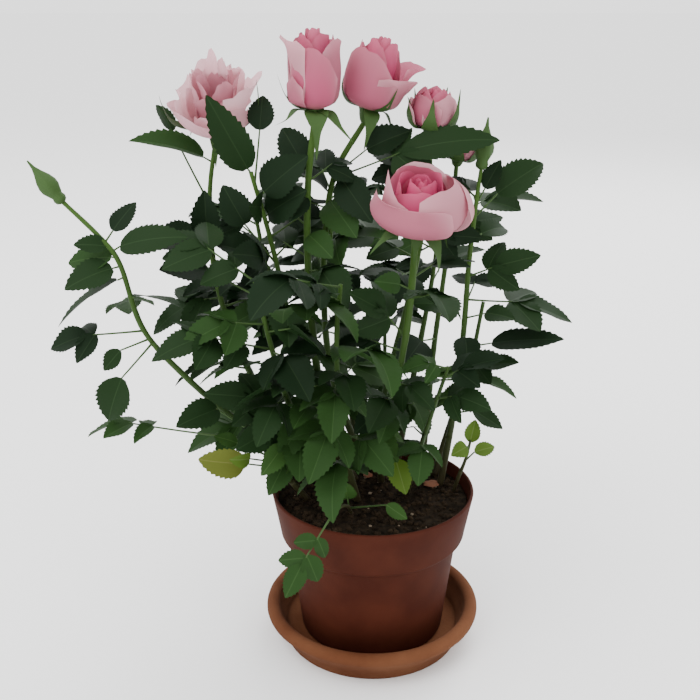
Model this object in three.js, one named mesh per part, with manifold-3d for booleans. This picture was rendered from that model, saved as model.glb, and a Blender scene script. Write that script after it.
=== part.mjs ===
// A miniature rose bush in its pot, standing on a clay saucer.
// Millimetres, +Z up. The origin is the middle of the saucer's flat underside.
// Every cane is a bare bough that rises from the soil, and a spray above it: the rest of the stem
// with its compound leaves and its flower, fused into one solid.
import * as THREE from 'three';
import { mergeVertices } from 'three/addons/utils/BufferGeometryUtils.js';
import Module from 'manifold-3d';

const wasm = await Module();
wasm.setup();

// ---------------------------------------------------------------- driving sizes
const CLEARANCE = 0.3; // between pieces that touch
const POT_DIAMETER = 105; // over the rim
const POT_HEIGHT = 79.7; // from its own underside
const WALL = 1.8;
const COLLAR_HEIGHT = 23; // the upright band below the rim
const SOIL_BELOW_RIM = 7;

const SAUCER = { lipRadius: 57, mouthRadius: 49.8, footRadius: 47, height: 20, floor: 6, floorRadius: 44.5 };
const POT = {
  foot: SAUCER.floor + CLEARANCE,
  rim: SAUCER.floor + CLEARANCE + POT_HEIGHT,
  rimRadius: POT_DIAMETER / 2,
  collarRadius: POT_DIAMETER / 2 - 3.9,
  shoulderRadius: POT_DIAMETER / 2 - 8.2,
  footRadius: 38,
  drainRadius: 6,
};
const SOIL_TOP = POT.rim - SOIL_BELOW_RIM;
const ROUND = 32; // sides of a turned piece

const LEAF = {
  thickness: 0.7,
  width: 0.78, // of its length, to give its four straight edges the area of a rounded leaf
  widestPart: 19, // however long the leaflet is
  widest: 0.42, // along its length
  pairAngle: 0.96, // radians between a side leaflet and the leaf's axis
  pairLengths: [0.82, 0.64, 0.46], // of the end leaflet's
  longestPair: 27,
  pairStep: 0.52, // between pairs, of the end leaflet's length
  endStalk: 4, // from the last pair to the end leaflet
  stalkRadius: 0.75,
  firstPair: 5, // least distance of a pair from the stem
  droop: 0.12, // of the side leaflets
  rootDepth: 0.3, // beyond the middle of the stalk
  pairOffset: 1, // between the two leaflets of a pair, along the stalk
};
const SHRINK = [1, 0.8, 0.62]; // sizes tried for a leaflet, before it is left out
const SWELL = 0.4; // room kept round a leaf that passes another piece
const BOUGH_SIDES = 6;
const STEM_SIDES = 4;
const STEM_STEP = 21;
const BURIED = 3; // how far a bough runs on before its level cut
const TWIG_SIDES = 3;
const GOLDEN_ANGLE = 2.39996;
const LEAF_SPACING = 20; // along a stem, between the leaves that follow the rule
const LEAF_REACH = 52; // from the stem to the leaf's tip
const BLADE = 25; // length of an end leaflet
// The rule goes up each stem twice. lag: the first leaf's place, as a share of the spacing.
const LEAF_ROUNDS = [
  { lag: 0.35, reach: 1, leaflets: 3, seed: 17 },
  { lag: 0.85, reach: 0.72, leaflets: 1, seed: 101 },
];
const FRONT = new THREE.Vector3(0, -1, 0);

// ---------------------------------------------------------------- the canes
// path: from the soil to the tip. bare: the height where the spray begins. foot, tip: radii.
// shown: single leaves that stand out of the crown, each with the height where it leaves the cane, its
// tip, its number of leaflets, the length of the end leaflet, how far the leaf arches, and how far its
// upper side is turned from straight up towards the front. open: sides on which no leaf of the rule grows
// between two heights.
const FOOT = SOIL_TOP + CLEARANCE;
const CANES = [
  {
    name: 'far_left', bare: 172, foot: 1.7, tip: 1, bloom: 'bud', blade: 0, aim: [-16, 0, 21],
    path: [[-24, 14, FOOT], [-42, 2, 103], [-70, -10, 129], [-92, -19, 155], [-110, -20, 179],
      [-119, -18, 210], [-128, -17, 223], [-144, -15, 239]],
    shown: [
      [216, [-89, -32, 231], 1, 34, 0.1, 1], [220, [-112, -8, 239], 1, 18, 0, 1.5],
      [218, [-138, -24, 222], 1, 17, 0.05, 1.5], [213, [-146, -14, 212], 1, 28, 0.05, 0.8],
      [209, [-142, -34, 206], 1, 24, 0, 1], [204, [-153, -26, 188], 1, 36, 0, 0],
      [178, [-157, -20, 170], 3, 20, 0.1, 0.8], [172, [-133, -32, 128], 1, 25, 0.3, 2],
      [174, [-131, -26, 158], 1, 13, 0.3, 2], [194, [-88, -34, 203], 1, 34, 0, -0.3],
      [190, [-128, 30, 172], 3, 20, 0.2],
    ],
  },
  {
    name: 'tall_left', bare: 130, foot: 1.9, tip: 1.1, bloom: 'ruffled', blade: 24, aim: [2, -9, 20],
    open: [['left', 150, 265]],
    path: [[-26, 20, FOOT], [-44, 10, 108], [-62, 7, 144], [-75, 8, 180], [-80, 11, 210], [-80, 14, 238],
      [-76, 15, 264]],
    shown: [
      [232, [-104, 22, 282], 1, 15, -0.1, 0.2], [252, [-113, 4, 271], 3, 36, 0.05, 0.5],
      [206, [-80, -14, 243], 1, 24, -0.2, 6], [186, [-116, 4, 173], 3, 30, 0.15, 0.4],
      [170, [-99, -26, 176], 3, 36, 0.15, 0.6], [196, [-106, 34, 212], 3, 22, 0.2],
      [214, [-104, 2, 222], 3, 20, 0.1, 1], [190, [-104, 5, 184], 1, 26, 0, -0.2],
      [198, [-100, -12, 208], 3, 27, 0.1, 1],
    ],
  },
  {
    name: 'left_shoot', bare: 128, foot: 1.8, tip: 1, bloom: null, blade: 24, open: [['left', 225, 260]],
    path: [[-16, 10, FOOT], [-30, 9, 108], [-38, 4, 146], [-43, -1, 184], [-50, -8, 222], [-57, -14, 252]],
    shown: [
      [251, [-72, -36, 286], 1, 42, -0.05, 4], [246, [-52, 8, 292], 1, 22, -0.1, 3],
      [206, [-70, -22, 248], 1, 21, -0.1, 5], [198, [-68, -24, 224], 3, 24, 0.1, 0.8],
      [178, [-40, -46, 188], 3, 26, 0.3, 1], [196, [-58, -44, 222], 3, 24, 0.2, 1.5],
      [226, [-38, 26, 246], 3, 22, 0.1, 1], [216, [-74, -28, 210], 3, 24, 0.1, 2],
      [240, [-33, -22, 261], 1, 27, 0, 2], [230, [-34, -24, 246], 3, 28, 0.1, 1.5],
      [234, [-54, -34, 240], 1, 25, 0.3, 4],
    ],
  },
  {
    name: 'tall_middle', bare: 126, foot: 2.2, tip: 1.5, bloom: 'goblet', blade: 24, aim: [0, 0, 20],
    path: [[-9, 20, FOOT], [-23, 10, 108], [-28, 1, 146], [-31, -5, 184], [-32, -9, 218], [-31, -12, 248],
      [-28, -12, 273]],
    shown: [
      [250, [-44, -4, 274], 1, 25, 0, 2], [204, [-14, -44, 199], 3, 27, 0.3, 1],
      [226, [-60, 12, 238], 3, 22, 0.2, 1], [240, [-41, -26, 230], 1, 25, 0.3, 2],
      [222, [-21, -28, 218], 3, 27, 0.1, 1.5], [206, [-17, -28, 208], 1, 19, 0.1, 1.2],
    ],
  },
  {
    name: 'tall_middle_back', bare: 128, foot: 2.0, tip: 1.3, bloom: 'spread', blade: 24, aim: [5, 0, 20],
    path: [[3, 26, FOOT], [-12, 22, 108], [-22, 16, 146], [-25, 10, 184], [-24, 7, 218], [-19, 5, 248],
      [-5, 5, 272.5]],
    shown: [
      [246, [53, -20, 275], 3, 46, 0.03, 1.3], [244, [-4, -23, 233], 1, 28, 0.45, 4],
      [234, [-12, -21, 228], 1, 28, 0.35, 3], [248, [19, -4, 273], 1, 28, 0.1, 1.6],
      [238, [-32, -6, 255], 1, 20, 0.1, 0.6], [214, [5, -20, 225], 3, 30, 0.1, 0.2],
      [238, [-2, 44, 244], 3, 22, 0.2], [240, [-32, 36, 256], 3, 20, 0.1, 0.5],
    ],
  },
  {
    name: 'right_of_middle', bare: 126, foot: 1.9, tip: 1.1, bloom: 'half', blade: 24, aim: [2, -2, 20],
    open: [['right', 140, 270]],
    path: [[8, 32, FOOT], [4, 29, 106], [9, 24, 140], [17, 19, 178], [23, 13, 214], [26, 9, 242],
      [25.5, 5, 266]],
    shown: [
      [238, [-2, 30, 262], 3, 24, 0.1, 1], [198, [3, -30, 195], 3, 25, 0.2, 1.2],
      [222, [52, 34, 236], 3, 22, 0.2], [208, [48, -12, 222], 3, 20, 0.2, 1],
    ],
  },
  {
    name: 'right_inner', bare: 120, foot: 1.8, tip: 1, bloom: 'half', flower: 0.8, blade: 22,
    aim: [4, 0, 20], open: [['right', 110, 250], ['left', 140, 175]],
    path: [[26, 17, FOOT], [29, 22, 112], [32, 27, 150], [36, 26, 190], [39, 22, 224], [40, 20, 250]],
    shown: [
      [214, [66, 34, 222], 3, 20, 0.2, 0.8], [158, [14, -18, 160], 1, 27, 0.2, 1.5],
    ],
  },
  {
    name: 'front', bare: 108, foot: 2.1, tip: 1.55, bloom: 'open', blade: 22, aim: [1.5, -4.5, 20],
    open: [['right', 120, 200]],
    path: [[5, 16, FOOT], [4, -2, 112], [8, -20, 138], [12, -31, 166], [15, -39, 196], [16.5, -45, 228.5]],
    shown: [
      [154, [26, -50, 152], 3, 19, 0.2, 1], [180, [-14, -46, 206], 3, 25, 0.2, 1],
      [204, [0, -54, 212], 1, 14, 0.1, 2], [196, [35, -36, 198], 1, 20, 0.2, 1],
      [140, [-8, -44, 138], 3, 20, 0.2, 1.5], [116, [16, -36, 97], 1, 18, 0.3, 2],
    ],
  },
  {
    name: 'right', bare: 108, foot: 1.9, tip: 0.9, bloom: 'bud', blade: 20, aim: [2, 0, 21],
    open: [['right', 80, 255], ['left', 80, 130]],
    path: [[36.5, 13, FOOT], [42, 12, 121], [45, 7, 165], [46, 3, 205], [48, 0, 236], [49.6, 0, 252]],
    shown: [
      [228, [78, 0, 256], 1, 27, 0.1, 1.5], [234, [58, -2, 256], 1, 15, 0, 1],
      [216, [67, 12, 225], 3, 18, 0.1, 1], [198, [78, -8, 212], 3, 22, 0.05, 2],
      [186, [100, 0, 179], 3, 29, 0.1, 0.25], [160, [91, -12, 174], 1, 36, 0, 0.5],
      [166, [45, -22, 162], 1, 20, 0.3, 3], [176, [66, -12, 184], 1, 16, 0.1, 0.8],
      [146, [71, -6, 158], 3, 19, 0.05, 0.5], [140, [75, 2, 138], 1, 20, 0.2, 0.1],
      [122, [68, 4, 117], 1, 18, 0.35, 0.6], [184, [60, 44, 190], 3, 22, 0.2],
    ],
  },
  {
    name: 'front_left', bare: 110, foot: 2.1, tip: 1, bloom: null, blade: 26, open: [['left', 100, 140]],
    path: [[-18, 0, FOOT], [-31, -14, 112], [-42, -27, 146], [-49, -34, 178], [-55, -36, 208]],
    shown: [
      [148, [-53, -62, 140], 3, 22, 0.2, 2], [140, [-80, -34, 152], 3, 23, 0.1, 1.5],
      [130, [-64, -50, 130], 3, 20, 0.15, 2.5], [114, [-51, -49, 104], 1, 20, 0.45, 3],
      [122, [-52, -52, 118], 3, 18, 0.3, 3], [172, [-30, -66, 164], 3, 26, 0.25, 1],
      [186, [-86, -58, 186], 3, 24, 0.2, 0.6],
    ],
  },
  {
    name: 'front_middle', bare: 108, foot: 2.0, tip: 1, bloom: null, blade: 26,
    path: [[-8, -4, FOOT], [-14, -20, 112], [-17, -34, 146], [-18, -42, 180], [-16, -46, 208]],
    shown: [
      [138, [-31, -66, 119], 3, 26, 0.3, 2], [160, [-20, -74, 144], 3, 25, 0.3, 1.5],
      [128, [8, -56, 120], 3, 22, 0.3, 1.5],
    ],
  },
  {
    name: 'front_right', bare: 106, foot: 1.6, tip: 0.8, bloom: null, blade: 17, open: [['right', 100, 170]],
    path: [[18, 3, FOOT], [22, -12, 108], [28, -24, 138], [34, -32, 164]],
    shown: [
      [146, [52, -46, 150], 3, 19, 0.2, 1], [124, [20, -52, 112], 3, 18, 0.3, 1.5],
      [158, [58, -38, 172], 3, 20, 0.1],
    ],
  },
  {
    name: 'low_right', bare: 94, foot: 1.2, tip: 0.7, bloom: null, blade: 0,
    path: [[43, 6, FOOT], [45, 2, 90], [48, 0, 101], [50, -1, 112]],
    shown: [
      [100, [64, 6, 106], 3, 13, 0.3, 1.5], [108, [42, -14, 112], 3, 13, 0.2, 1.5],
      [110, [53, 4, 122], 1, 12, 0, 2],
    ],
  },
  {
    name: 'back_left', bare: 112, foot: 2.1, tip: 1, bloom: null, blade: 25,
    path: [[-20, 27, FOOT], [-33, 36, 114], [-46, 44, 150], [-56, 50, 186], [-62, 54, 218]],
    shown: [],
  },
  {
    name: 'back_middle', bare: 114, foot: 2.1, tip: 1, bloom: null, blade: 25,
    path: [[-6, 34, FOOT], [-12, 48, 114], [-18, 60, 150], [-22, 68, 188], [-23, 72, 224]],
    shown: [],
  },
  {
    name: 'back_right', bare: 112, foot: 2.1, tip: 1, bloom: null, blade: 25, open: [['right', 130, 175]],
    path: [[14, 37, FOOT], [21, 49, 114], [28, 60, 148], [34, 66, 182], [37, 69, 212]],
    shown: [],
  },
  {
    name: 'far_right_back', bare: 108, foot: 2.0, tip: 1, bloom: null, blade: 22,
    open: [['right', 80, 175], ['left', 140, 175]],
    path: [[34, 24, FOOT], [44, 34, 110], [54, 42, 140], [60, 47, 172]],
    shown: [],
  },
  {
    name: 'left_back', bare: 106, foot: 2.0, tip: 1, bloom: null, blade: 24, open: [['left', 130, 180]],
    path: [[-32, 15, FOOT], [-50, 21, 110], [-66, 28, 142], [-78, 32, 174]],
    shown: [],
  },
  {
    name: 'low_back', bare: 98, foot: 1.8, tip: 0.9, bloom: null, blade: 22,
    path: [[4, 41, FOOT], [6, 56, 102], [8, 70, 128], [8, 78, 156]],
    shown: [],
  },
  {
    name: 'low_left', bare: 94, foot: 1.8, tip: 0.9, bloom: null, blade: 16, open: [['left', 95, 135]],
    path: [[-34, -3, FOOT], [-44, -13, 98], [-53, -20, 114], [-60, -24, 132]],
    shown: [
      [126, [-104, -20, 154], 3, 28, 0.05, 0.3], [122, [-145, -12, 122], 3, 21, 0.2, 0],
      [104, [-83, -37, 117], 1, 23, 0.05, 3], [112, [-77, -28, 128], 1, 12, 0, 1],
      [108, [-66, -46, 122], 1, 13, 0.1, 3], [116, [-84, 10, 140], 3, 18, 0.1],
    ],
  },
  {
    name: 'over_rim', bare: 85, foot: 1.0, tip: 0.7, bloom: null, blade: 0,
    path: [[-11, -19, FOOT], [-13, -32, 91], [-17, -46, 98], [-21, -57, 99]],
    shown: [
      [98.9, [-43, -74, 63], 3, 18, 0.12, 3], [89.5, [-14, -42, 107], 1, 14, 0.1, 3],
      [88, [16, -42, 89], 1, 12, 0.4, 3],
    ],
  },
];

// Flowers, from the stem up: radius, height, and how far the five petals' waves push the outline out.
// The heart stands inside the outer petals' rim.
const BLOOMS = {
  bud: [[1.3, 0], [3, 1.2], [3.3, 3.4], [2.7, 5.4], [4.4, 8.6], [4.5, 11.4], [2.4, 16], [0.8, 20], [0, 24]],
  half: [[1.3, 0], [3.4, 2.6], [4.4, 4.8], [9, 7], [11, 13], [10.2, 18, 0.3], [8, 21.5, 0.5], [4.4, 23],
    [0, 23]],
  goblet: [[1.5, 0], [3.4, 3.6], [4.8, 8], [10.4, 11.6], [12.6, 21, 0.4], [12, 32, 0.6], [13.6, 38, 1.8],
    [10.4, 37, 1], [8, 40], [4, 42.5], [0, 42.5]],
  spread: [[1.5, 0], [3.4, 3.6], [4.8, 7.4], [11.2, 10], [14.2, 18, 0.5], [15.6, 26, 1.2], [17, 31, 2.4],
    [12.4, 33, 1], [9, 36.5], [4, 39.5], [0, 39.5]],
  open: [[1.6, 0], [3.6, 3.2], [5, 6.2], [15, 8], [21.4, 14, 0.6], [20.4, 20, 0.8], [17.6, 25, 1.2],
    [13, 23.6, 0.8], [10.6, 26.5, 0.4], [5, 25], [0, 23.5]],
  ruffled: [[1.6, 0], [3.6, 3.6], [5, 6.8], [12.6, 8.6], [18, 14, 1], [19, 20, 1.8], [18, 27, 2.4],
    [14, 26.6, 1.6], [11.6, 33, 2], [6.4, 36, 1], [0, 34]],
};
const PETALS = 5;
const BLOOM_SIDES = { bud: 8, half: 10, goblet: 15, spread: 15, open: 15, ruffled: 15 };
const PETAL_RISE = 0.8; // of a petal's wave in height, to its wave outwards
const FLOWER_STALK = 34; // bare below a flower
const NEAR = 0.001; // points closer than this are taken as one

// ---------------------------------------------------------------- closed meshes
const UP = new THREE.Vector3(0, 0, 1);
const vec = (p) => new THREE.Vector3(...p);
const lerp = THREE.MathUtils.lerp;

function bodyFrom(points, faces) {
  const geometry = new THREE.BufferGeometry();
  const numbers = points.flatMap((p) => [p.x, p.y, p.z]);
  geometry.setAttribute('position', new THREE.Float32BufferAttribute(numbers, 3));
  geometry.setIndex(faces.flat());
  return geometry;
}

function solidFrom(geometry) {
  const bare = geometry.clone();
  bare.deleteAttribute('normal');
  bare.deleteAttribute('uv');
  const merged = mergeVertices(bare, 1e-4);
  const solid = new wasm.Manifold(new wasm.Mesh({
    numProp: 3,
    vertProperties: new Float32Array(merged.attributes.position.array),
    triVerts: new Uint32Array(merged.index.array),
  }));
  return solid;
}

function geometryFrom(solid) {
  const mesh = solid.getMesh();
  const geometry = new THREE.BufferGeometry();
  geometry.setAttribute('position', new THREE.BufferAttribute(new Float32Array(mesh.vertProperties), 3));
  geometry.setIndex(new THREE.BufferAttribute(new Uint32Array(mesh.triVerts), 1));
  return geometry;
}

// Rings of the same size joined into a closed body, with flat ends.
function loft(rings) {
  const sides = rings[0].length;
  const points = rings.flat();
  const faces = [];
  for (let k = 0; k + 1 < rings.length; k += 1) {
    for (let i = 0; i < sides; i += 1) {
      const j = (i + 1) % sides;
      const [a, b, c, d] = [k * sides + i, k * sides + j, (k + 1) * sides + j, (k + 1) * sides + i];
      faces.push([a, b, c], [a, c, d]);
    }
  }
  const last = (rings.length - 1) * sides;
  for (let i = 1; i + 1 < sides; i += 1) {
    faces.push([0, i + 1, i], [last, last + i, last + i + 1]);
  }
  return bodyFrom(points, faces);
}

// A tapering limb with a round section along a list of points, each with the way it heads there.
function limb(path, headings, radii, sides, turn = 0) {
  const side = new THREE.Vector3();
  const rings = path.map((point, k) => {
    const along = headings[k];
    if (k === 0) {
      side.crossVectors(along, Math.abs(along.z) > 0.9 ? new THREE.Vector3(0, 1, 0) : UP);
    }
    side.addScaledVector(along, -side.dot(along)).normalize();
    const other = along.clone().cross(side);
    return Array.from({ length: sides }, (_, i) => {
      const angle = turn + (2 * Math.PI * i) / sides;
      return point.clone()
        .addScaledVector(side, radii[k] * Math.cos(angle))
        .addScaledVector(other, radii[k] * Math.sin(angle));
    });
  });
  return solidFrom(loft(rings));
}

// ---------------------------------------------------------------- leaves
// The outline of a leaflet: root, one edge, tip, the other edge, moved out and up by the given room.
function leafletOutline({ root, direction, normal }, length, room, height) {
  const across = normal.clone().cross(direction).normalize();
  const halfWidth = Math.min(length * LEAF.width, LEAF.widestPart) / 2 + room;
  const corner = (ahead, aside) => root.clone().addScaledVector(direction, ahead)
    .addScaledVector(across, aside).addScaledVector(normal, height);
  const middle = length * LEAF.widest;
  return [corner(-room, 0), corner(middle, -halfWidth), corner(length + room, 0), corner(middle, halfWidth)];
}

// A leaflet is a flat six-sided body: its outline, and a ridge above it.
function leafletSolid(place, length) {
  const ridge = place.root.clone().addScaledVector(place.direction, length * LEAF.widest)
    .addScaledVector(place.normal, LEAF.thickness);
  const points = [...leafletOutline(place, length, 0, 0), ridge];
  return solidFrom(bodyFrom(points, [[0, 1, 4], [1, 2, 4], [2, 3, 4], [3, 0, 4], [0, 3, 2], [0, 2, 1]]));
}

// The room that a leaflet needs clear of other pieces.
function leafletRoom(place, length) {
  const heights = [-SWELL, LEAF.thickness + SWELL];
  return solidFrom(loft(heights.map((height) => leafletOutline(place, length, SWELL, height))));
}

// The curve of a whole leaf from the stem to its tip: arched upwards by a share of its length.
function leafCurve(from, tip, arch) {
  const middle = from.clone().add(tip).multiplyScalar(0.5).addScaledVector(UP, arch * from.distanceTo(tip));
  return new THREE.QuadraticBezierCurve3(from, middle, tip);
}

// Where the parts of a compound leaf lie: its stalk, and each leaflet's root, direction and length.
function leafParts(from, tip, count, blade, arch, facing) {
  const curve = leafCurve(from, tip, arch);
  const length = curve.getLength();
  const end = Math.min(blade, length * 0.9);
  const stalkEnd = 1 - end / length;
  const side = tip.clone().sub(from).cross(facing).normalize();
  const stalk = [from, curve.getPoint(stalkEnd)];
  const along = stalk[1].clone().sub(from).normalize();
  const stalkLength = stalk[1].distanceTo(from);
  const normal = side.clone().cross(along).normalize();
  const leaflets = [leafletPlace(stalk[1], tip.clone().sub(stalk[1]).normalize(), side, end)];
  for (let pair = 0; pair < (count - 1) / 2; pair += 1) {
    const at = stalkLength - LEAF.endStalk - pair * LEAF.pairStep * end;
    if (at < LEAF.firstPair) break;
    for (const hand of [1, -1]) {
      const aim = along.clone().multiplyScalar(Math.cos(LEAF.pairAngle))
        .addScaledVector(side, hand * Math.sin(LEAF.pairAngle))
        .addScaledVector(normal, -LEAF.droop).normalize();
      const root = from.clone().addScaledVector(along, at + (hand * LEAF.pairOffset) / 2);
      leaflets.push(leafletPlace(root, aim, along.clone().multiplyScalar(-hand),
        Math.min(end * LEAF.pairLengths[pair], LEAF.longestPair)));
    }
  }
  return { stalk, leaflets };
}

// A leaflet sunk into its stalk, its upper side square to its direction and to the given side.
function leafletPlace(at, direction, side, length) {
  const normal = side.clone().cross(direction).normalize();
  return { root: at.clone().addScaledVector(direction, -LEAF.rootDepth), direction, normal, length };
}

// ---------------------------------------------------------------- flowers
// A turned body whose outline swings out and up where each petal is broadest.
function bloomSolid(kind, base, aim, scale) {
  const profile = [[0, 0], ...BLOOMS[kind]];
  const shape = new THREE.LatheGeometry(profile.map(([r, z]) => new THREE.Vector2(r, z)), BLOOM_SIDES[kind]);
  shape.rotateX(Math.PI / 2);
  const corners = shape.attributes.position;
  for (let i = 0; i < corners.count; i += 1) {
    const wave = profile[i % profile.length][2] ?? 0;
    const angle = Math.atan2(corners.getY(i), corners.getX(i));
    const push = wave * Math.cos(PETALS * angle);
    corners.setXYZ(
      i,
      corners.getX(i) + push * Math.cos(angle),
      corners.getY(i) + push * Math.sin(angle),
      corners.getZ(i) + push * PETAL_RISE,
    );
  }
  const turn = new THREE.Quaternion().setFromUnitVectors(UP, vec(aim).normalize());
  const size = new THREE.Vector3(scale, scale, scale);
  return solidFrom(shape.applyMatrix4(new THREE.Matrix4().compose(base, turn, size)));
}

// ---------------------------------------------------------------- growing the bush
const placed = []; // every solid so far, with its box and the group of solids that it may touch

function boxOf(solid) {
  const geometry = geometryFrom(solid);
  geometry.computeBoundingBox();
  return geometry.boundingBox;
}

function keep(solid, group) {
  placed.push({ solid, group, box: boxOf(solid) });
}

function isFree(solid, groups) {
  const box = boxOf(solid);
  return !placed.some((other) => !groups.includes(other.group) && box.intersectsBox(other.box)
    && !solid.intersect(other.solid).isEmpty());
}

function curveOf(cane) {
  return new THREE.CatmullRomCurve3(cane.path.map(vec), false, 'catmullrom', 0.5);
}

function shareAtHeight(curve, height) {
  let [low, high] = [0, 1];
  for (let i = 0; i < 24; i += 1) {
    const middle = (low + high) / 2;
    if (curve.getPoint(middle).z < height) low = middle;
    else high = middle;
  }
  return low;
}

function stemBetween(cane, curve, start, end, sides) {
  const count = Math.max(2, Math.ceil((curve.getLength() * (end - start)) / STEM_STEP));
  const shares = Array.from({ length: count + 1 }, (_, i) => lerp(start, end, i / count));
  const headings = shares.map((t) => curve.getTangent(t));
  const points = shares.map((t) => curve.getPoint(t));
  if (start === 0) points[0].addScaledVector(headings[0], -BURIED);
  return limb(points, headings, shares.map((t) => lerp(cane.foot, cane.tip, t)), sides);
}

// A bough is cut off flat and level where it meets the soil.
function levelFoot(solid, cane) {
  const [x, y] = cane.path[0];
  const below = new THREE.BoxGeometry(30, 30, 10).translate(x, y, FOOT - 5);
  return solid.subtract(solidFrom(below));
}

const sprays = new Map();

function plantCane(cane) {
  const curve = curveOf(cane);
  const split = shareAtHeight(curve, cane.bare);
  const nudge = 0.001;
  const gap = ((CLEARANCE + 0.1) * nudge) / curve.getPoint(split + nudge).distanceTo(curve.getPoint(split));
  const bough = levelFoot(stemBetween(cane, curve, 0, split - gap / 2, BOUGH_SIDES), cane);
  keep(bough, `bough ${cane.name}`);
  const solids = [stemBetween(cane, curve, split + gap / 2, 1, STEM_SIDES)];
  keep(solids[0], cane.name);
  if (cane.bloom) {
    const aim = vec(cane.aim);
    const base = curve.getPoint(1).addScaledVector(aim.clone().normalize(), -1);
    const flower = bloomSolid(cane.bloom, base, aim, cane.flower ?? 1);
    keep(flower, `bloom ${cane.name}`);
    solids.push(flower);
  }
  sprays.set(cane.name, { cane, curve, split, solids, bough });
}

let leafCount = 0;

// Adds one compound leaf to a spray, leaving out what would touch anything else.
function growLeaf(spray, share, tip, count, blade, arch, facing) {
  const from = spray.curve.getPoint(share);
  const { stalk, leaflets } = leafParts(from, tip, count, blade, arch, facing);
  const heading = stalk[1].clone().sub(from).normalize();
  const radii = [1.15, 0.9].map((factor) => factor * LEAF.stalkRadius);
  const own = [spray.cane.name, `leaf ${leafCount}`];
  const headings = [heading, heading];
  if (!isFree(limb(stalk, headings, radii.map((r) => r + SWELL), TWIG_SIDES, Math.PI / 2), own)) return;
  const twig = limb(stalk, headings, radii, TWIG_SIDES, Math.PI / 2);
  const grown = [];
  for (const place of leaflets) {
    const clearOf = grown.length ? [own[1]] : own;
    const size = SHRINK.find((part) => isFree(leafletRoom(place, place.length * part), clearOf));
    if (size) grown.push(leafletSolid(place, place.length * size));
  }
  if (!grown.length) return;
  [twig, ...grown].forEach((solid) => keep(solid, own[1]));
  spray.solids.push(twig, ...grown);
  leafCount += 1;
}

// A repeatable stream of numbers between 0 and 1.
function numberStream(seed) {
  let state = seed;
  return () => {
    state = (state * 16807) % 2147483647;
    return state / 2147483647;
  };
}

function growShownLeaves(spray) {
  for (const [height, tip, count, blade, arch, turn = 0.4] of spray.cane.shown) {
    const facing = UP.clone().addScaledVector(FRONT, turn);
    growLeaf(spray, shareAtHeight(spray.curve, height), vec(tip), count, blade, arch, facing);
  }
}

// Whether a stem keeps that side bare at that height.
function isOpen(cane, height, heading) {
  const side = heading.x < 0 ? 'left' : 'right';
  return (cane.open ?? []).some(([open, low, high]) => side === open && low < height && height < high);
}

// The other leaves turn round the stem by the golden angle and lean away from the bush's middle.
function growRuleLeaves(spray, number, round) {
  const { cane, curve, split } = spray;
  if (!cane.blade) return;
  const random = numberStream(number * 7919 + round.seed);
  const length = curve.getLength() * (1 - split);
  const count = Math.floor((length - (cane.bloom ? FLOWER_STALK : 0)) / LEAF_SPACING);
  for (let k = 0; k <= count; k += 1) {
    const share = Math.min(split + ((k + round.lag) * LEAF_SPACING) / curve.getLength(), 0.99);
    const from = curve.getPoint(share);
    const turns = k + (round.lag - LEAF_ROUNDS[0].lag) * 2;
    const angle = number * 1.7 + turns * GOLDEN_ANGLE + 0.5 * (random() - 0.5);
    const heading = new THREE.Vector3(Math.cos(angle), Math.sin(angle), 0);
    heading.addScaledVector(new THREE.Vector3(from.x + 10, from.y - 5, 0).normalize(), 0.55).normalize();
    const climb = lerp(-0.3, 0.4, (from.z - SOIL_TOP) / 180) + 0.25 * (random() - 0.5);
    const reach = LEAF_REACH * round.reach * (cane.blade / BLADE) * (0.85 + 0.3 * random());
    const tip = from.clone().addScaledVector(heading, reach * Math.cos(climb));
    tip.z += reach * Math.sin(climb);
    const lean = 2 * Math.PI * random();
    const facing = UP.clone().add(new THREE.Vector3(Math.cos(lean), Math.sin(lean), 0).multiplyScalar(0.6));
    const blade = cane.blade * (1 + 0.25 * random());
    if (isOpen(cane, from.z, heading)) continue;
    growLeaf(spray, share, tip, round.leaflets, blade, 0.22, facing);
  }
}

// Whether every edge still lies between two faces once points that nearly meet are taken as one.
function isSound(solid) {
  const corners = mergeVertices(geometryFrom(solid), NEAR).index.array;
  const edges = new Map();
  for (let i = 0; i < corners.length; i += 3) {
    const face = [corners[i], corners[i + 1], corners[i + 2]];
    if (new Set(face).size < 3) continue;
    face.forEach((a, k) => {
      const b = face[(k + 1) % 3];
      const edge = `${Math.min(a, b)} ${Math.max(a, b)}`;
      edges.set(edge, (edges.get(edge) ?? 0) + 1);
    });
  }
  return [...edges.values()].every((faces) => faces === 2);
}

// One closed body: each solid joined on unless that would leave a pinched edge, any sealed hollow
// filled and any loose scrap dropped.
function joined(solids) {
  const whole = solids.reduce((sum, solid) => {
    const more = sum.add(solid);
    return isSound(more) ? more : sum;
  });
  const bodies = whole.decompose();
  return bodies.reduce((best, body) => (body.volume() > best.volume() ? body : best));
}

// ---------------------------------------------------------------- pot, saucer and soil
function turned(profile) {
  const points = profile.map(([r, z]) => new THREE.Vector2(r, z));
  return new THREE.LatheGeometry(points, ROUND).rotateX(Math.PI / 2);
}

// Quarter-round corner points between two directions, for rounded lips.
function rounded(centre, radius, from, to, steps) {
  return Array.from({ length: steps + 1 }, (_, i) => {
    const angle = lerp(from, to, i / steps);
    return [centre[0] + radius * Math.cos(angle), centre[1] + radius * Math.sin(angle)];
  });
}

function saucerShape() {
  const lip = (SAUCER.lipRadius - SAUCER.mouthRadius) / 2;
  const middle = SAUCER.mouthRadius + lip;
  return turned([
    [0, 0], [SAUCER.footRadius - 1, 0], [SAUCER.footRadius, 1],
    ...rounded([middle, SAUCER.height - lip], lip, 0, Math.PI, 5),
    [SAUCER.floorRadius, SAUCER.floor], [0, SAUCER.floor],
  ]);
}

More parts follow.
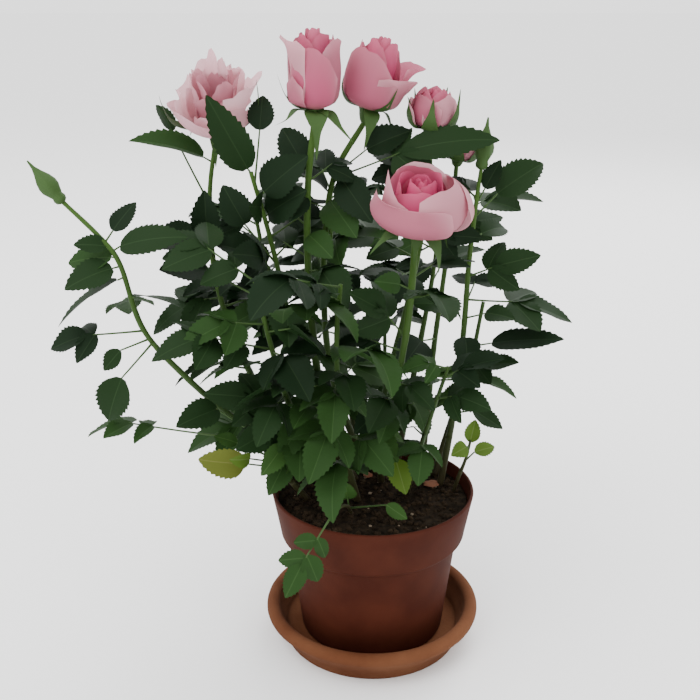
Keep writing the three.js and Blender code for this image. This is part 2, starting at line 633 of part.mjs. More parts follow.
function potShape() {
  const { foot, rim, rimRadius, collarRadius, shoulderRadius, footRadius, drainRadius } = POT;
  const collar = rim - COLLAR_HEIGHT;
  const profile = [
    [drainRadius, foot], [footRadius - 1, foot], [footRadius, foot + 1.2],
    [shoulderRadius, collar - 4.5], [collarRadius - 1.4, collar - 1.6], [collarRadius, collar + 1],
    ...rounded([rimRadius - WALL / 2, rim - WALL / 2], WALL / 2, 0, Math.PI, 3),
    [collarRadius - WALL, collar + 1], [shoulderRadius - WALL, collar - 4.5],
    [footRadius - WALL, foot + WALL + 0.6], [drainRadius, foot + WALL], [drainRadius, foot],
  ];
  return turned(profile);
}

function soilShape() {
  const { foot, rim, rimRadius, collarRadius, shoulderRadius, footRadius } = POT;
  const collar = rim - COLLAR_HEIGHT;
  const inside = WALL + CLEARANCE + 0.2;
  const rise = (SOIL_TOP - collar - 1) / (rim - collar - 1);
  return turned([
    [0, foot + WALL + CLEARANCE], [footRadius - inside - 1, foot + WALL + CLEARANCE + 0.6],
    [shoulderRadius - inside, collar - 4.5], [collarRadius - inside, collar + 1],
    [lerp(collarRadius, rimRadius, rise) - inside - 0.3, SOIL_TOP], [0, SOIL_TOP],
  ]);
}

// ---------------------------------------------------------------- the model
const MATERIALS = {
  pot: new THREE.MeshStandardMaterial({ color: 0x8c3f28, roughness: 0.55 }),
  saucer: new THREE.MeshStandardMaterial({ color: 0xa8563a, roughness: 0.85 }),
  soil: new THREE.MeshStandardMaterial({ color: 0x1c1512, roughness: 1 }),
  cane: new THREE.MeshStandardMaterial({ color: 0x3a4a22, roughness: 0.8 }),
  leaf: new THREE.MeshStandardMaterial({ color: 0x1f4a2a, roughness: 0.6 }),
};

const bush = new THREE.Group();

function addPiece(name, geometry, material) {
  const mesh = new THREE.Mesh(geometry, material);
  mesh.name = name;
  bush.add(mesh);
}

for (const [name, shape] of [['saucer', saucerShape()], ['pot', potShape()], ['soil', soilShape()]]) {
  keep(solidFrom(shape), name);
  addPiece(name, shape, MATERIALS[name]);
}

CANES.forEach(plantCane);
const grownSprays = [...sprays.values()];
grownSprays.forEach(growShownLeaves);
for (const round of LEAF_ROUNDS) {
  grownSprays.forEach((spray, number) => growRuleLeaves(spray, number, round));
}

for (const { cane, bough, solids } of grownSprays) {
  addPiece(`cane_${cane.name}`, geometryFrom(bough), MATERIALS.cane);
  addPiece(`spray_${cane.name}`, geometryFrom(joined(solids)), MATERIALS.leaf);
}

export default bush;
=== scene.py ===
"""A miniature rose bush in its pot on a clay saucer: the looks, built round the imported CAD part.

Shapes are worked out in millimetres in the CAD's frame and scaled to metres as each mesh is made.
"""

import random
from collections import namedtuple
from math import ceil, cos, floor, pi, radians, sin, sqrt
from types import SimpleNamespace

import bpy
import numpy as np
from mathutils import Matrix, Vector
from mathutils.bvhtree import BVHTree
from mathutils.noise import noise


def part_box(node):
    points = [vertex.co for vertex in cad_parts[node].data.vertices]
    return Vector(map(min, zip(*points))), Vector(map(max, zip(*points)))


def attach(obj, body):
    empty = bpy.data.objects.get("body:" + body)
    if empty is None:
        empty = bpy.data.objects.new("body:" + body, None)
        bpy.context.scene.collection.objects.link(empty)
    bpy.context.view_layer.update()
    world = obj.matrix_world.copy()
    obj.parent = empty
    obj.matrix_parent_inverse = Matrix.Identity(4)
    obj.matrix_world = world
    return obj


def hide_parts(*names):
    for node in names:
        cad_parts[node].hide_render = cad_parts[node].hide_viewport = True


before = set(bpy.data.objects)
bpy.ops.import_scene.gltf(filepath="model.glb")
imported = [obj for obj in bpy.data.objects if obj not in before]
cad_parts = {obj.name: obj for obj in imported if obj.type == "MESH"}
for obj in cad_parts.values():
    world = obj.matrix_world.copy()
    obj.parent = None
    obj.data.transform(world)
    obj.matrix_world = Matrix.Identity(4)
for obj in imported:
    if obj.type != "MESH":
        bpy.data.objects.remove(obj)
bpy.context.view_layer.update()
MM = 0.001
UP = Vector((0, 0, 1))
RIGHT = Vector((1, 0, 0))
FRONT = Vector((0, -1, 0))

# ---------- driving sizes in mm
POT_LOW, POT_HIGH = (Vector(corner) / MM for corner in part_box("pot"))
SAUCER_HIGH = Vector(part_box("saucer")[1]) / MM
SOIL_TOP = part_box("soil")[1][2] / MM
CLEARANCE = 0.3  # between pieces that touch
FOOT = SOIL_TOP + CLEARANCE
POT_RADIUS = POT_HIGH.x
WALL = 1.8
COLLAR_HEIGHT = 23
COLLAR_RADIUS = POT_RADIUS - 3.9
SHOULDER_RADIUS = POT_RADIUS - 8.2
POT_FOOT_RADIUS = 38
POT_EDGE = 1.3  # rounding of the pot's foot
DRAIN_RADIUS = 6
SAUCER_FOOT_RADIUS = 46
SAUCER_EDGE = 1  # rounding of the saucer's foot
SAUCER_MOUTH_RADIUS = 49.8
SAUCER_OUTSIDE = (48.6, 6)  # (radius, height) on its wall
SAUCER_INSIDE = (47.2, 10)
SAUCER_FLOOR = 6
SAUCER_FLOOR_RADIUS = 43.6
SAUCER_CORNER = 2.5  # rounding of the floor's edge

# ---------- the rule of the leaves
GOLDEN_ANGLE = 2.39996
LEAF_SPACING = 20  # along a stem, between the leaves that follow the rule
LEAF_REACH = 52  # from the stem to the leaf's tip
BLADE = 25  # length of an end leaflet
FLOWER_STALK = 34  # bare below a flower
CANE_TURN = 1.7  # radians from one cane's first leaf to the next one's
MIDDLE = (-10, 5)  # of the bush, (x, y)
OUTWARD = 0.55  # pull of a leaf away from it
CLIMB_OVER = 180  # height over which leaves turn from hanging to rising
RULE_LEAFLETS = 5
RULE_ARCH = 0.22
RULE_FACING = 0.6  # how far a leaf leans over
SHOWN_FACING = 0.4  # to the front, where a leaf gives none
LEAF_ROUNDS = ((0.35, 1, 1, 17), (0.85, 0.72, 0.8, 101))  # lag, shares of reach and blade, seed

# ---------- one leaf
PAIR_ANGLE = 0.96  # radians between a side leaflet and the leaf's axis
PAIR_DROOP = 0.12
PAIR_LENGTHS = (0.82, 0.64, 0.46)  # of the end leaflet's
LONGEST_PAIR = 27
PAIR_STEP = 0.52  # between pairs, of the end leaflet's length
PAIR_STAGGER = 0.5
END_STALK = 4  # from the last pair to the end leaflet
LONGEST_END = 0.9  # of the whole leaf
FIRST_PAIR = 5  # least distance of a pair from the stem
SHRINK = (1, 0.8, 0.62)  # sizes tried for a leaflet
LEAF_WIDTH = 0.64  # of its length
WIDEST_LEAF = 17
WIDEST_AT = 0.42  # of a leaflet's length
RIDGE = 0.7  # height of a simple leaflet
SUNK = 0.3  # its root in the stalk
STALK_ROOM = 0.7  # radius kept clear
STALK_RADII = (0.62, 0.52, 0.47, 0.44, 0.42, 0.36)
STALK_SAG = 0.02  # of its length
WIDTHS = (0.94, 1.2)  # a finer leaflet's, of the simple one's
BENDS = (0.15, 0.85)  # radians from root to tip
FOLDS = (0.1, 0.5)  # slopes of the halves
ROLL = 0.25
RIPPLES = (0.5, 1.1)
NOTCH = 0.9  # width between teeth, of the width at a tooth
RIB = 0.22  # half the width of a midrib
TINTS = {  # blade and midrib
    "dark": ((0.0052, 0.0145, 0.0050), (0.010, 0.023, 0.008)),
    "deep": ((0.0085, 0.0235, 0.0062), (0.014, 0.034, 0.010)),
    "mid": ((0.015, 0.041, 0.0085), (0.024, 0.058, 0.014)),
    "fresh": ((0.023, 0.058, 0.0115), (0.036, 0.078, 0.019)),
    "lime": ((0.062, 0.112, 0.014), (0.09, 0.14, 0.03)),
    "yellowing": ((0.088, 0.105, 0.016), (0.12, 0.13, 0.03)),
}
YOUNG = {"low_right": "lime", "over_rim": "mid"}  # canes whose leaves are all of one tint

# ---------- canes
# As in the CAD source: the height where the spray begins, the radii at foot and tip, the flower and
# its scale, the size of the rule's leaves, the way the flower faces, the path, and the single leaves
# that stand out: where each leaves the cane, its tip, number of leaflets, length and arch, and for most
# a turn to the front and for some a tint. On an open side no leaf of the rule grows between two heights.
USUAL = dict(bloom=None, flower=1.0, blade=0, open=(), shown=())
CANES = [
    dict(name="far_left", bare=172, foot=1.7, tip=1.0, bloom="bud", aim=(-16, 0, 21), path=[
        (-24, 14, FOOT), (-42, 2, 103), (-70, -10, 129), (-92, -19, 155), (-110, -20, 179),
        (-119, -18, 210), (-128, -17, 223), (-144, -15, 239)], shown=[
        (216, (-89, -32, 231), 1, 34, 0.1, 1), (220, (-112, -8, 239), 1, 18, 0, 1.5),
        (218, (-138, -24, 222), 1, 17, 0.05, 1.5), (213, (-146, -14, 212), 1, 28, 0.05, 0.8),
        (209, (-142, -34, 206), 1, 24, 0, 1), (204, (-153, -26, 188), 1, 36, 0, 0),
        (178, (-157, -20, 170), 3, 20, 0.1, 0.8), (172, (-133, -32, 128), 1, 25, 0.3, 2),
        (174, (-131, -26, 158), 1, 13, 0.3, 2), (194, (-88, -34, 203), 1, 34, 0, -0.3),
        (190, (-128, 30, 172), 3, 20, 0.2)]),
    dict(name="tall_left", bare=130, foot=1.9, tip=1.1, bloom="ruffled", blade=24, aim=(2, -9, 20),
         open=[("left", 150, 265)], path=[
        (-26, 20, FOOT), (-44, 10, 108), (-62, 7, 144), (-75, 8, 180), (-80, 11, 210), (-80, 14, 238),
        (-76, 15, 264)], shown=[
        (232, (-104, 22, 282), 1, 15, -0.1, 0.2), (252, (-113, 4, 271), 3, 36, 0.05, 0.5, "mid"),
        (206, (-80, -14, 243), 1, 24, -0.2, 6), (186, (-116, 4, 173), 3, 30, 0.15, 0.4),
        (170, (-99, -26, 176), 3, 36, 0.15, 0.6), (196, (-106, 34, 212), 3, 22, 0.2),
        (214, (-104, 2, 222), 5, 20, 0.1, 1), (190, (-104, 5, 184), 1, 26, 0, -0.2),
        (198, (-100, -12, 208), 5, 27, 0.1, 1)]),
    dict(name="left_shoot", open=[("left", 225, 260)], bare=128, foot=1.8, tip=1.0, blade=24, path=[
        (-16, 10, FOOT), (-30, 9, 108), (-38, 4, 146), (-43, -1, 184), (-50, -8, 222),
        (-57, -14, 252)], shown=[
        (251, (-72, -36, 286), 1, 42, -0.05, 4, "deep"), (246, (-52, 8, 292), 1, 22, -0.1, 3),
        (206, (-70, -22, 248), 1, 21, -0.1, 5), (198, (-68, -24, 224), 3, 24, 0.1, 0.8),
        (178, (-40, -46, 188), 3, 26, 0.3, 1), (196, (-58, -44, 222), 3, 24, 0.2, 1.5),
        (226, (-38, 26, 246), 3, 22, 0.1, 1), (216, (-74, -28, 210), 3, 24, 0.1, 2),
        (240, (-33, -22, 261), 1, 27, 0, 2), (230, (-34, -24, 246), 3, 28, 0.1, 1.5),
        (234, (-54, -34, 240), 1, 25, 0.3, 4)]),
    dict(name="tall_middle", bare=126, foot=2.2, tip=1.5, bloom="goblet", blade=24, aim=(0, 0, 20), path=[
        (-9, 20, FOOT), (-23, 10, 108), (-28, 1, 146), (-31, -5, 184), (-32, -9, 218), (-31, -12, 248),
        (-28, -12, 273)], shown=[
        (250, (-44, -4, 274), 1, 25, 0, 2), (204, (-14, -44, 199), 3, 27, 0.3, 1),
        (226, (-60, 12, 238), 5, 22, 0.2, 1), (240, (-41, -26, 230), 1, 25, 0.3, 2),
        (222, (-21, -28, 218), 3, 27, 0.1, 1.5), (206, (-17, -28, 208), 1, 19, 0.1, 1.2, "fresh")]),
    dict(name="tall_middle_back", bare=128, foot=2.0, tip=1.3, bloom="spread", blade=24,
         aim=(5, 0, 20), path=[
        (3, 26, FOOT), (-12, 22, 108), (-22, 16, 146), (-25, 10, 184), (-24, 7, 218), (-19, 5, 248),
        (-5, 5, 272.5)], shown=[
        (246, (53, -20, 275), 3, 46, 0.03, 1.3, "deep"), (244, (-4, -23, 233), 1, 28, 0.45, 4),
        (234, (-12, -21, 228), 1, 28, 0.35, 3), (248, (19, -4, 273), 1, 28, 0.1, 1.6),
        (238, (-32, -6, 255), 1, 20, 0.1, 0.6), (214, (5, -20, 225), 3, 30, 0.1, 0.2),
        (238, (-2, 44, 244), 3, 22, 0.2), (240, (-32, 36, 256), 3, 20, 0.1, 0.5)]),
    dict(name="right_of_middle", bare=126, foot=1.9, tip=1.1, bloom="half", blade=24, aim=(2, -2, 20),
         open=[("right", 140, 270)], path=[
        (8, 32, FOOT), (4, 29, 106), (9, 24, 140), (17, 19, 178), (23, 13, 214), (26, 9, 242),
        (25.5, 5, 266)], shown=[
        (238, (-2, 30, 262), 3, 24, 0.1, 1), (198, (3, -30, 195), 3, 25, 0.2, 1.2),
        (222, (52, 34, 236), 3, 22, 0.2), (208, (48, -12, 222), 3, 20, 0.2, 1)]),
    dict(name="right_inner", bare=120, foot=1.8, tip=1.0, bloom="half", flower=0.8, blade=22,
         open=[("right", 110, 250), ("left", 140, 175)], aim=(4, 0, 20), path=[
        (26, 17, FOOT), (29, 22, 112), (32, 27, 150), (36, 26, 190), (39, 22, 224),
        (40, 20, 250)], shown=[
        (214, (66, 34, 222), 3, 20, 0.2, 0.8), (158, (14, -18, 160), 1, 27, 0.2, 1.5)]),
    dict(name="front", bare=108, foot=2.1, tip=1.55, bloom="open", blade=22, aim=(1.5, -4.5, 20),
         open=[("right", 120, 200)], path=[
        (5, 16, FOOT), (4, -2, 112), (8, -20, 138), (12, -31, 166), (15, -39, 196),
        (16.5, -45, 228.5)], shown=[
        (154, (26, -50, 152), 3, 19, 0.2, 1), (180, (-14, -46, 206), 3, 25, 0.2, 1),
        (204, (0, -54, 212), 1, 14, 0.1, 2, "mid"), (196, (35, -36, 198), 1, 20, 0.2, 1),
        (140, (-8, -44, 138), 3, 20, 0.2, 1.5), (116, (16, -36, 97), 1, 18, 0.3, 2, "lime")]),
    dict(name="right", bare=108, foot=1.9, tip=0.9, bloom="bud", blade=20, aim=(2, 0, 21),
         open=[("right", 80, 255), ("left", 80, 130)], path=[
        (36.5, 13, FOOT), (42, 12, 121), (45, 7, 165), (46, 3, 205), (48, 0, 236),
        (49.6, 0, 252)], shown=[
        (228, (78, 0, 256), 1, 27, 0.1, 1.5), (234, (58, -2, 256), 1, 15, 0, 1),
        (216, (67, 12, 225), 3, 18, 0.1, 1), (198, (78, -8, 212), 3, 22, 0.05, 2),
        (186, (100, 0, 179), 3, 29, 0.1, 0.25), (160, (91, -12, 174), 1, 36, 0, 0.5),
        (166, (45, -22, 162), 1, 20, 0.3, 3), (176, (66, -12, 184), 1, 16, 0.1, 0.8),
        (146, (71, -6, 158), 3, 19, 0.05, 0.5), (140, (75, 2, 138), 1, 20, 0.2, 0.1),
        (122, (68, 4, 117), 1, 18, 0.35, 0.6), (184, (60, 44, 190), 3, 22, 0.2)]),
    dict(name="front_left", open=[("left", 100, 140)], bare=110, foot=2.1, tip=1.0, blade=26, path=[
        (-18, 0, FOOT), (-31, -14, 112), (-42, -27, 146), (-49, -34, 178), (-55, -36, 208)], shown=[
        (148, (-53, -62, 140), 5, 22, 0.2, 2), (140, (-80, -34, 152), 3, 23, 0.1, 1.5),
        (130, (-64, -50, 130), 3, 20, 0.15, 2.5), (114, (-51, -49, 104), 1, 20, 0.45, 3),
        (122, (-52, -52, 118), 3, 18, 0.3, 3), (172, (-30, -66, 164), 3, 26, 0.25, 1),
        (186, (-86, -58, 186), 3, 24, 0.2, 0.6)]),
    dict(name="front_middle", bare=108, foot=2.0, tip=1.0, blade=26, path=[
        (-8, -4, FOOT), (-14, -20, 112), (-17, -34, 146), (-18, -42, 180), (-16, -46, 208)], shown=[
        (138, (-31, -66, 119), 3, 26, 0.3, 2), (160, (-20, -74, 144), 3, 25, 0.3, 1.5),
        (128, (8, -56, 120), 3, 22, 0.3, 1.5)]),
    dict(name="front_right", open=[("right", 100, 170)], bare=106, foot=1.6, tip=0.8, blade=17, path=[
        (18, 3, FOOT), (22, -12, 108), (28, -24, 138), (34, -32, 164)], shown=[
        (146, (52, -46, 150), 3, 19, 0.2, 1), (124, (20, -52, 112), 3, 18, 0.3, 1.5),
        (158, (58, -38, 172), 3, 20, 0.1)]),
    dict(name="low_right", bare=94, foot=1.2, tip=0.7, path=[
        (43, 6, FOOT), (45, 2, 90), (48, 0, 101), (50, -1, 112)], shown=[
        (100, (64, 6, 106), 3, 13, 0.3, 1.5), (108, (42, -14, 112), 3, 13, 0.2, 1.5),
        (110, (53, 4, 122), 1, 12, 0, 2)]),
    dict(name="back_left", bare=112, foot=2.1, tip=1.0, blade=25, path=[
        (-20, 27, FOOT), (-33, 36, 114), (-46, 44, 150), (-56, 50, 186), (-62, 54, 218)]),
    dict(name="back_middle", bare=114, foot=2.1, tip=1.0, blade=25, path=[
        (-6, 34, FOOT), (-12, 48, 114), (-18, 60, 150), (-22, 68, 188), (-23, 72, 224)]),
    dict(name="back_right", open=[("right", 130, 175)], bare=112, foot=2.1, tip=1.0, blade=25, path=[
        (14, 37, FOOT), (21, 49, 114), (28, 60, 148), (34, 66, 182), (37, 69, 212)]),
    dict(name="far_right_back", bare=108, foot=2.0, tip=1.0, blade=22,
         open=[("right", 80, 175), ("left", 140, 175)], path=[
        (34, 24, FOOT), (44, 34, 110), (54, 42, 140), (60, 47, 172)]),
    dict(name="left_back", open=[("left", 130, 180)], bare=106, foot=2.0, tip=1.0, blade=24, path=[
        (-32, 15, FOOT), (-50, 21, 110), (-66, 28, 142), (-78, 32, 174)]),
    dict(name="low_back", bare=98, foot=1.8, tip=0.9, blade=22, path=[
        (4, 41, FOOT), (6, 56, 102), (8, 70, 128), (8, 78, 156)]),
    dict(name="low_left", open=[("left", 95, 135)], bare=94, foot=1.8, tip=0.9, blade=16, path=[
        (-34, -3, FOOT), (-44, -13, 98), (-53, -20, 114), (-60, -24, 132)], shown=[
        (126, (-104, -20, 154), 3, 28, 0.05, 0.3), (122, (-145, -12, 122), 5, 21, 0.2, 0),
        (104, (-83, -37, 117), 1, 23, 0.05, 3, "yellowing"), (112, (-77, -28, 128), 1, 12, 0, 1),
        (108, (-66, -46, 122), 1, 13, 0.1, 3, "lime"), (116, (-84, 10, 140), 3, 18, 0.1)]),
    dict(name="over_rim", bare=85, foot=1.0, tip=0.7, path=[
        (-11, -19, FOOT), (-13, -32, 91), (-17, -46, 98), (-21, -57, 99)], shown=[
        (98.9, (-43, -74, 63), 5, 18, 0.12, 3), (89.5, (-14, -42, 107), 1, 14, 0.1, 3, "fresh"),
        (88, (16, -42, 89), 1, 12, 0.4, 3, "fresh")]),
]

CANES = [SimpleNamespace(**(USUAL | cane)) for cane in CANES]

draw = random.Random(7)  # for small natural differences


def lerp(a, b, t):
    return a + (b - a) * t


def shares(count):
    """Even steps from 0 to 1."""
    return [i / count for i in range(count + 1)]


def turns(sides):
    """Even steps round a circle."""
    return [2 * pi * i / sides for i in range(sides)]


def place_object(name, data):
    obj = bpy.data.objects.new(name, data)
    bpy.context.collection.objects.link(obj)
    return obj


# ---------- many small shapes in one mesh
TUBE_END = 0.02  # radius of a limb's closed end, of its own


class Heap:
    """Points and faces of many small shapes that become one object."""

    def __init__(self):
        self.points = []
        self.faces = []
        self.slots = []
        self.tints = []

    def add_grid(self, rows, slot_of=None, closed=False, tints=None):
        """A sheet through rows of points, or a tube if it is closed round."""
        first = len(self.points)
        wide = len(rows[0])
        for row in rows:
            self.points.extend(row)
        if tints:
            for row in tints:
                self.tints.extend(row)
        strips = wide if closed else wide - 1
        for k in range(len(rows) - 1):
            for i in range(strips):
                j = (i + 1) % wide
                a, b = first + k * wide + i, first + k * wide + j
                self.faces.append((a, b, b + wide, a + wide))
                self.slots.append(slot_of(k, i) if slot_of else 0)

    def show(self, name, materials, nodes, slot, smooth=True):
        """One finished piece, which stands for these CAD nodes and takes the given materials; its slot is
        not used.
        """
        mesh = bpy.data.meshes.new(name)
        mesh.from_pydata((np.array(self.points) * MM).tolist(), [], self.faces)
        for material in materials:
            mesh.materials.append(material)
        mesh.polygons.foreach_set("material_index", self.slots)
        mesh.polygons.foreach_set("use_smooth", [smooth] * len(self.faces))
        if self.tints:
            layer = mesh.color_attributes.new("tint", "FLOAT_COLOR", "POINT")
            layer.data.foreach_set("color", np.array(self.tints, dtype=np.float32).ravel())
        mesh.update()
        piece = place_object(name, mesh)
        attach(piece, "root")
        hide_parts(*nodes)


def round_heap(rows):
    """One shape that is closed round."""
    heap = Heap()
    heap.add_grid(rows, closed=True)
    return heap


def ring(centre, along, side, radius, sides):
    """A round row of points."""
    other = along.cross(side)
    return [tuple(centre + side * (radius * cos(a)) + other * (radius * sin(a)))
            for a in turns(sides)]


def level_ring(radius, height, sides):
    return ring(Vector((0, 0, height)), UP, RIGHT, radius, sides)


def tube(heap, path, radii, sides):
    """A round limb along the points of a path, nearly closed at both ends."""
    side = None
    rows = []
    for k, point in enumerate(path):
        along = (path[min(k + 1, len(path) - 1)] - path[max(k - 1, 0)]).normalized()
        if side is None:
            side = along.cross(Vector((0, 1, 0)) if abs(along.z) > 0.9 else UP)
        side = (side - along * side.dot(along)).normalized()
        rows.append(ring(point, along, side, radii[k], sides))
        if k == 0:
            rows.insert(0, ring(point, along, side, radii[k] * TUBE_END, sides))
        if k == len(path) - 1:
            rows.append(ring(point, along, side, radii[k] * TUBE_END, sides))
    heap.add_grid(rows, closed=True)


# ---------- curves
def catmull_point(points, t):
    """A point on the curve through all the points, with the ends carried on straight."""
    position = t * (len(points) - 1)
    k = min(int(position), len(points) - 2)
    w = position - k
    p1, p2 = points[k], points[k + 1]
    p0 = points[k - 1] if k > 0 else p1 * 2 - p2
    p3 = points[k + 2] if k + 2 < len(points) else p2 * 2 - p1
    t0, t1 = (p2 - p0) * 0.5, (p3 - p1) * 0.5
    return p1 + t0 * w + (p2 * 3 - p1 * 3 - t0 * 2 - t1) * w ** 2 + (p1 * 2 - p2 * 2 + t0 + t1) * w ** 3


def length_of(marks):
    return sum((b - a).length for a, b in zip(marks, marks[1:]))


class Curve:
    """A smooth curve through the points of a path."""

    def __init__(self, path):
        self.points = [Vector(p) for p in path]
        self.length = length_of([self.at(t) for t in shares(200)])

    def at(self, t):
        return catmull_point(self.points, t)

    def share_at_height(self, height):
        """How far along the curve a height is reached."""
        low, high = 0.0, 1.0
        for _ in range(24):
            middle = (low + high) / 2
            if self.at(middle).z < height:
                low = middle
            else:
                high = middle
        return low


def bezier(a, b, c, t):
    """A point on the arc from a to c that bends towards b."""
    return a * (1 - t) ** 2 + b * (2 * t * (1 - t)) + c * t ** 2


# ---------- keeping leaves clear of one another
MOST_SOLIDS = 8000
LIMB_SIDES = 5
BLADE_FACES = [(0, 1, 4), (1, 2, 4), (2, 3, 4), (3, 0, 4), (0, 3, 2), (0, 2, 1)]


class Space:
    """The simple solids placed so far, tested by their boxes and then by their faces."""

    def __init__(self):
        self.trees = []
        self.groups = []
        self.low = np.empty((MOST_SOLIDS, 3))
        self.high = np.empty((MOST_SOLIDS, 3))

    def keep(self, points, faces, group):
        k = len(self.trees)
        self.trees.append(BVHTree.FromPolygons(points, faces))
        self.groups.append(group)
        self.low[k] = np.min(points, axis=0)
        self.high[k] = np.max(points, axis=0)

    def is_free(self, points, faces, groups):
        """Whether a solid touches nothing outside these groups."""
        count = len(self.trees)
        low, high = np.min(points, axis=0), np.max(points, axis=0)
        near = np.all((self.low[:count] <= high) & (self.high[:count] >= low), axis=1).nonzero()[0]
        tree = BVHTree.FromPolygons(points, faces)
        return not any(self.groups[i] not in groups and tree.overlap(self.trees[i]) for i in near)


space = Space()


def limb_solid(path, radius):
    heap = Heap()
    tube(heap, path, [radius] * len(path), LIMB_SIDES)
    return heap.points, heap.faces


def blade_solid(place, length):
    """A leaflet as the CAD has it: four straight edges and a low ridge."""
    root, ahead, across, normal, _ = place
    half = min(length * LEAF_WIDTH, WIDEST_LEAF) / 2
    middle = root + ahead * (length * WIDEST_AT)
    points = [root, middle - across * half, root + ahead * length, middle + across * half,
              middle + normal * RIDGE]
    return [tuple(p) for p in points], BLADE_FACES


# ---------- leaves
Place = namedtuple("Place", "root ahead across normal length")  # of a leaflet


def leaflet_place(at, ahead, side, length):
    normal = side.cross(ahead).normalized()
    return Place(at - ahead * SUNK, ahead, normal.cross(ahead), normal, length)


def leaf_parts(start, tip, count, blade, arch, facing):
    """A compound leaf's stalk end and normal, and each leaflet's place."""
    middle = (start + tip) * 0.5 + UP * (arch * (tip - start).length)
    length = length_of([bezier(start, middle, tip, t) for t in shares(20)])
    end = min(blade, length * LONGEST_END)
    side = (tip - start).cross(facing).normalized()
    stalk_end = bezier(start, middle, tip, 1 - end / length)
    along = (stalk_end - start).normalized()
    stalk_length = (stalk_end - start).length
    normal = side.cross(along).normalized()
    places = [leaflet_place(stalk_end, (tip - stalk_end).normalized(), side, end)]
    for pair in range((count - 1) // 2):
        at = stalk_length - END_STALK - pair * PAIR_STEP * end
        if at < FIRST_PAIR:
            break
        for hand in (1, -1):
            ahead = along * cos(PAIR_ANGLE) + side * (hand * sin(PAIR_ANGLE))
            ahead = ahead - normal * PAIR_DROOP
            root = start + along * (at + hand * PAIR_STAGGER)
            size = min(end * PAIR_LENGTHS[min(pair, 2)], LONGEST_PAIR)
            places.append(leaflet_place(root, ahead.normalized(), -along * hand, size))
    return stalk_end, normal, places


def half_width(u):
    """A leaflet's outline, as a share of its greatest half width."""
    return 2.3 * u ** 0.45 * (1 - u) ** 0.85


def add_leaflet(heap, place, length):
    """A toothed blade, folded along its midrib and bent down towards its tip."""
    root, ahead, across, normal, _ = place
    width = min(length * LEAF_WIDTH, WIDEST_LEAF) / 2 * draw.uniform(*WIDTHS)
    teeth = 12 if length > 26 else 10 if length > 16 else 8
    bend = draw.uniform(*BENDS)
    fold = draw.uniform(*FOLDS)
    roll = draw.uniform(-ROLL, ROLL)
    ripple = draw.uniform(*RIPPLES)
    start = draw.uniform(0, 6)
    rows = []
    for k in range(2 * teeth + 1):
        u = k / (2 * teeth)
        tooth = k % 2 == 1
        share = min(max(u, 0.012), 0.995)  # neither end is quite a point
        edge = max(width * half_width(share) * (1.0 if tooth else NOTCH), 0.12)
        rib = min(RIB, edge * 0.4)
        row = []
        for x in (-edge, -0.55 * edge, -rib, rib, 0.55 * edge, edge):
            slope = abs(x) / width
            forward = u + (0.5 if tooth else -0.2) / (2 * teeth) * slope + 0.05 * slope * (1 - u)
            lift = fold * abs(x) - 0.35 * slope ** 2 + (0.12 if tooth else -0.12) * min(slope, 0.5)
            lift += ripple * slope ** 2 * sin(start + 7 * u + (2 if x > 0 else 0)) * 0.7
            lift += roll * x * u
            angle = bend * forward
            reach = length * sin(angle) / bend
            drop = length * (1 - cos(angle)) / bend
            point = root + across * x + ahead * (reach + lift * sin(angle))
            row.append(tuple(point + normal * (lift * cos(angle) - drop)))
        rows.append(row)
    heap.add_grid(rows, slot_of=lambda k, i: 1 if i == 2 else 0)


def level(angle):
    return Vector((cos(angle), sin(angle), 0))


def is_open(cane, height, heading):
    """Whether the crown is open where a leaf of the rule would grow."""
    side = "left" if heading.x < 0 else "right"
    return any(side == open_side and low < height < high for open_side, low, high in cane.open)


class Foliage:
    """All the leaves and twigs, with one heap of leaves for each tint."""

    def __init__(self):
        self.leaves = {tint: Heap() for tint in TINTS}
        self.twigs = Heap()
        self.count = 0

    def grow_leaf(self, cane, start, tip, count, blade, arch, facing, tint):
        """One compound leaf, leaving out what would touch anything else."""
        stalk_end, normal, places = leaf_parts(start, tip, count, blade, arch, facing)
        own = (cane.name, f"leaf {self.count}")
        stalk = limb_solid([start, stalk_end], STALK_ROOM)
        if not space.is_free(*stalk, own):
            return
        grown = []
        for place in places:
            clear_of = own[1:] if grown else own
            for size in SHRINK:
                solid = blade_solid(place, place.length * size)
                if space.is_free(*solid, clear_of):
                    grown.append((place, place.length * size, solid))
                    break
        if not grown:
            return
        space.keep(*stalk, own[1])
        for place, length, solid in grown:
            space.keep(*solid, own[1])
            add_leaflet(self.leaves[tint], place, length)
        last = grown[0][0].root if grown[0][0] is places[0] else stalk_end
        sag = normal * (-STALK_SAG * (last - start).length)
        path = [bezier(start, (start + last) * 0.5 + sag, last, t) for t in shares(len(STALK_RADII) - 1)]
        tube(self.twigs, path, STALK_RADII, 6)
        self.count += 1


def tint_for(cane, height):
    """Darker above, fresher near the soil."""
    if cane.name in YOUNG:
        return YOUNG[cane.name]
    pick = draw.random()
    if height < 125:
        return "fresh" if pick < 0.25 else "mid" if pick < 0.75 else "deep"
    if height < 165:
        return "mid" if pick < 0.35 else "deep" if pick < 0.8 else "dark"
    return "mid" if pick < 0.12 else "deep" if pick < 0.5 else "dark"


def number_stream(seed):
    """The same repeatable stream of numbers as the CAD source's."""
    state = seed
    while True:
        state = (state * 16807) % 2147483647
        yield state / 2147483647


def grow_shown_leaves(foliage, cane):
    for height, tip, count, blade, arch, *more in cane.shown:
        facing = UP + FRONT * (more[0] if more else SHOWN_FACING)
        start = cane.curve.at(cane.curve.share_at_height(height))
        tint = more[1] if len(more) > 1 else tint_for(cane, height)
        foliage.grow_leaf(cane, start, Vector(tip), count, blade, arch, facing, tint)


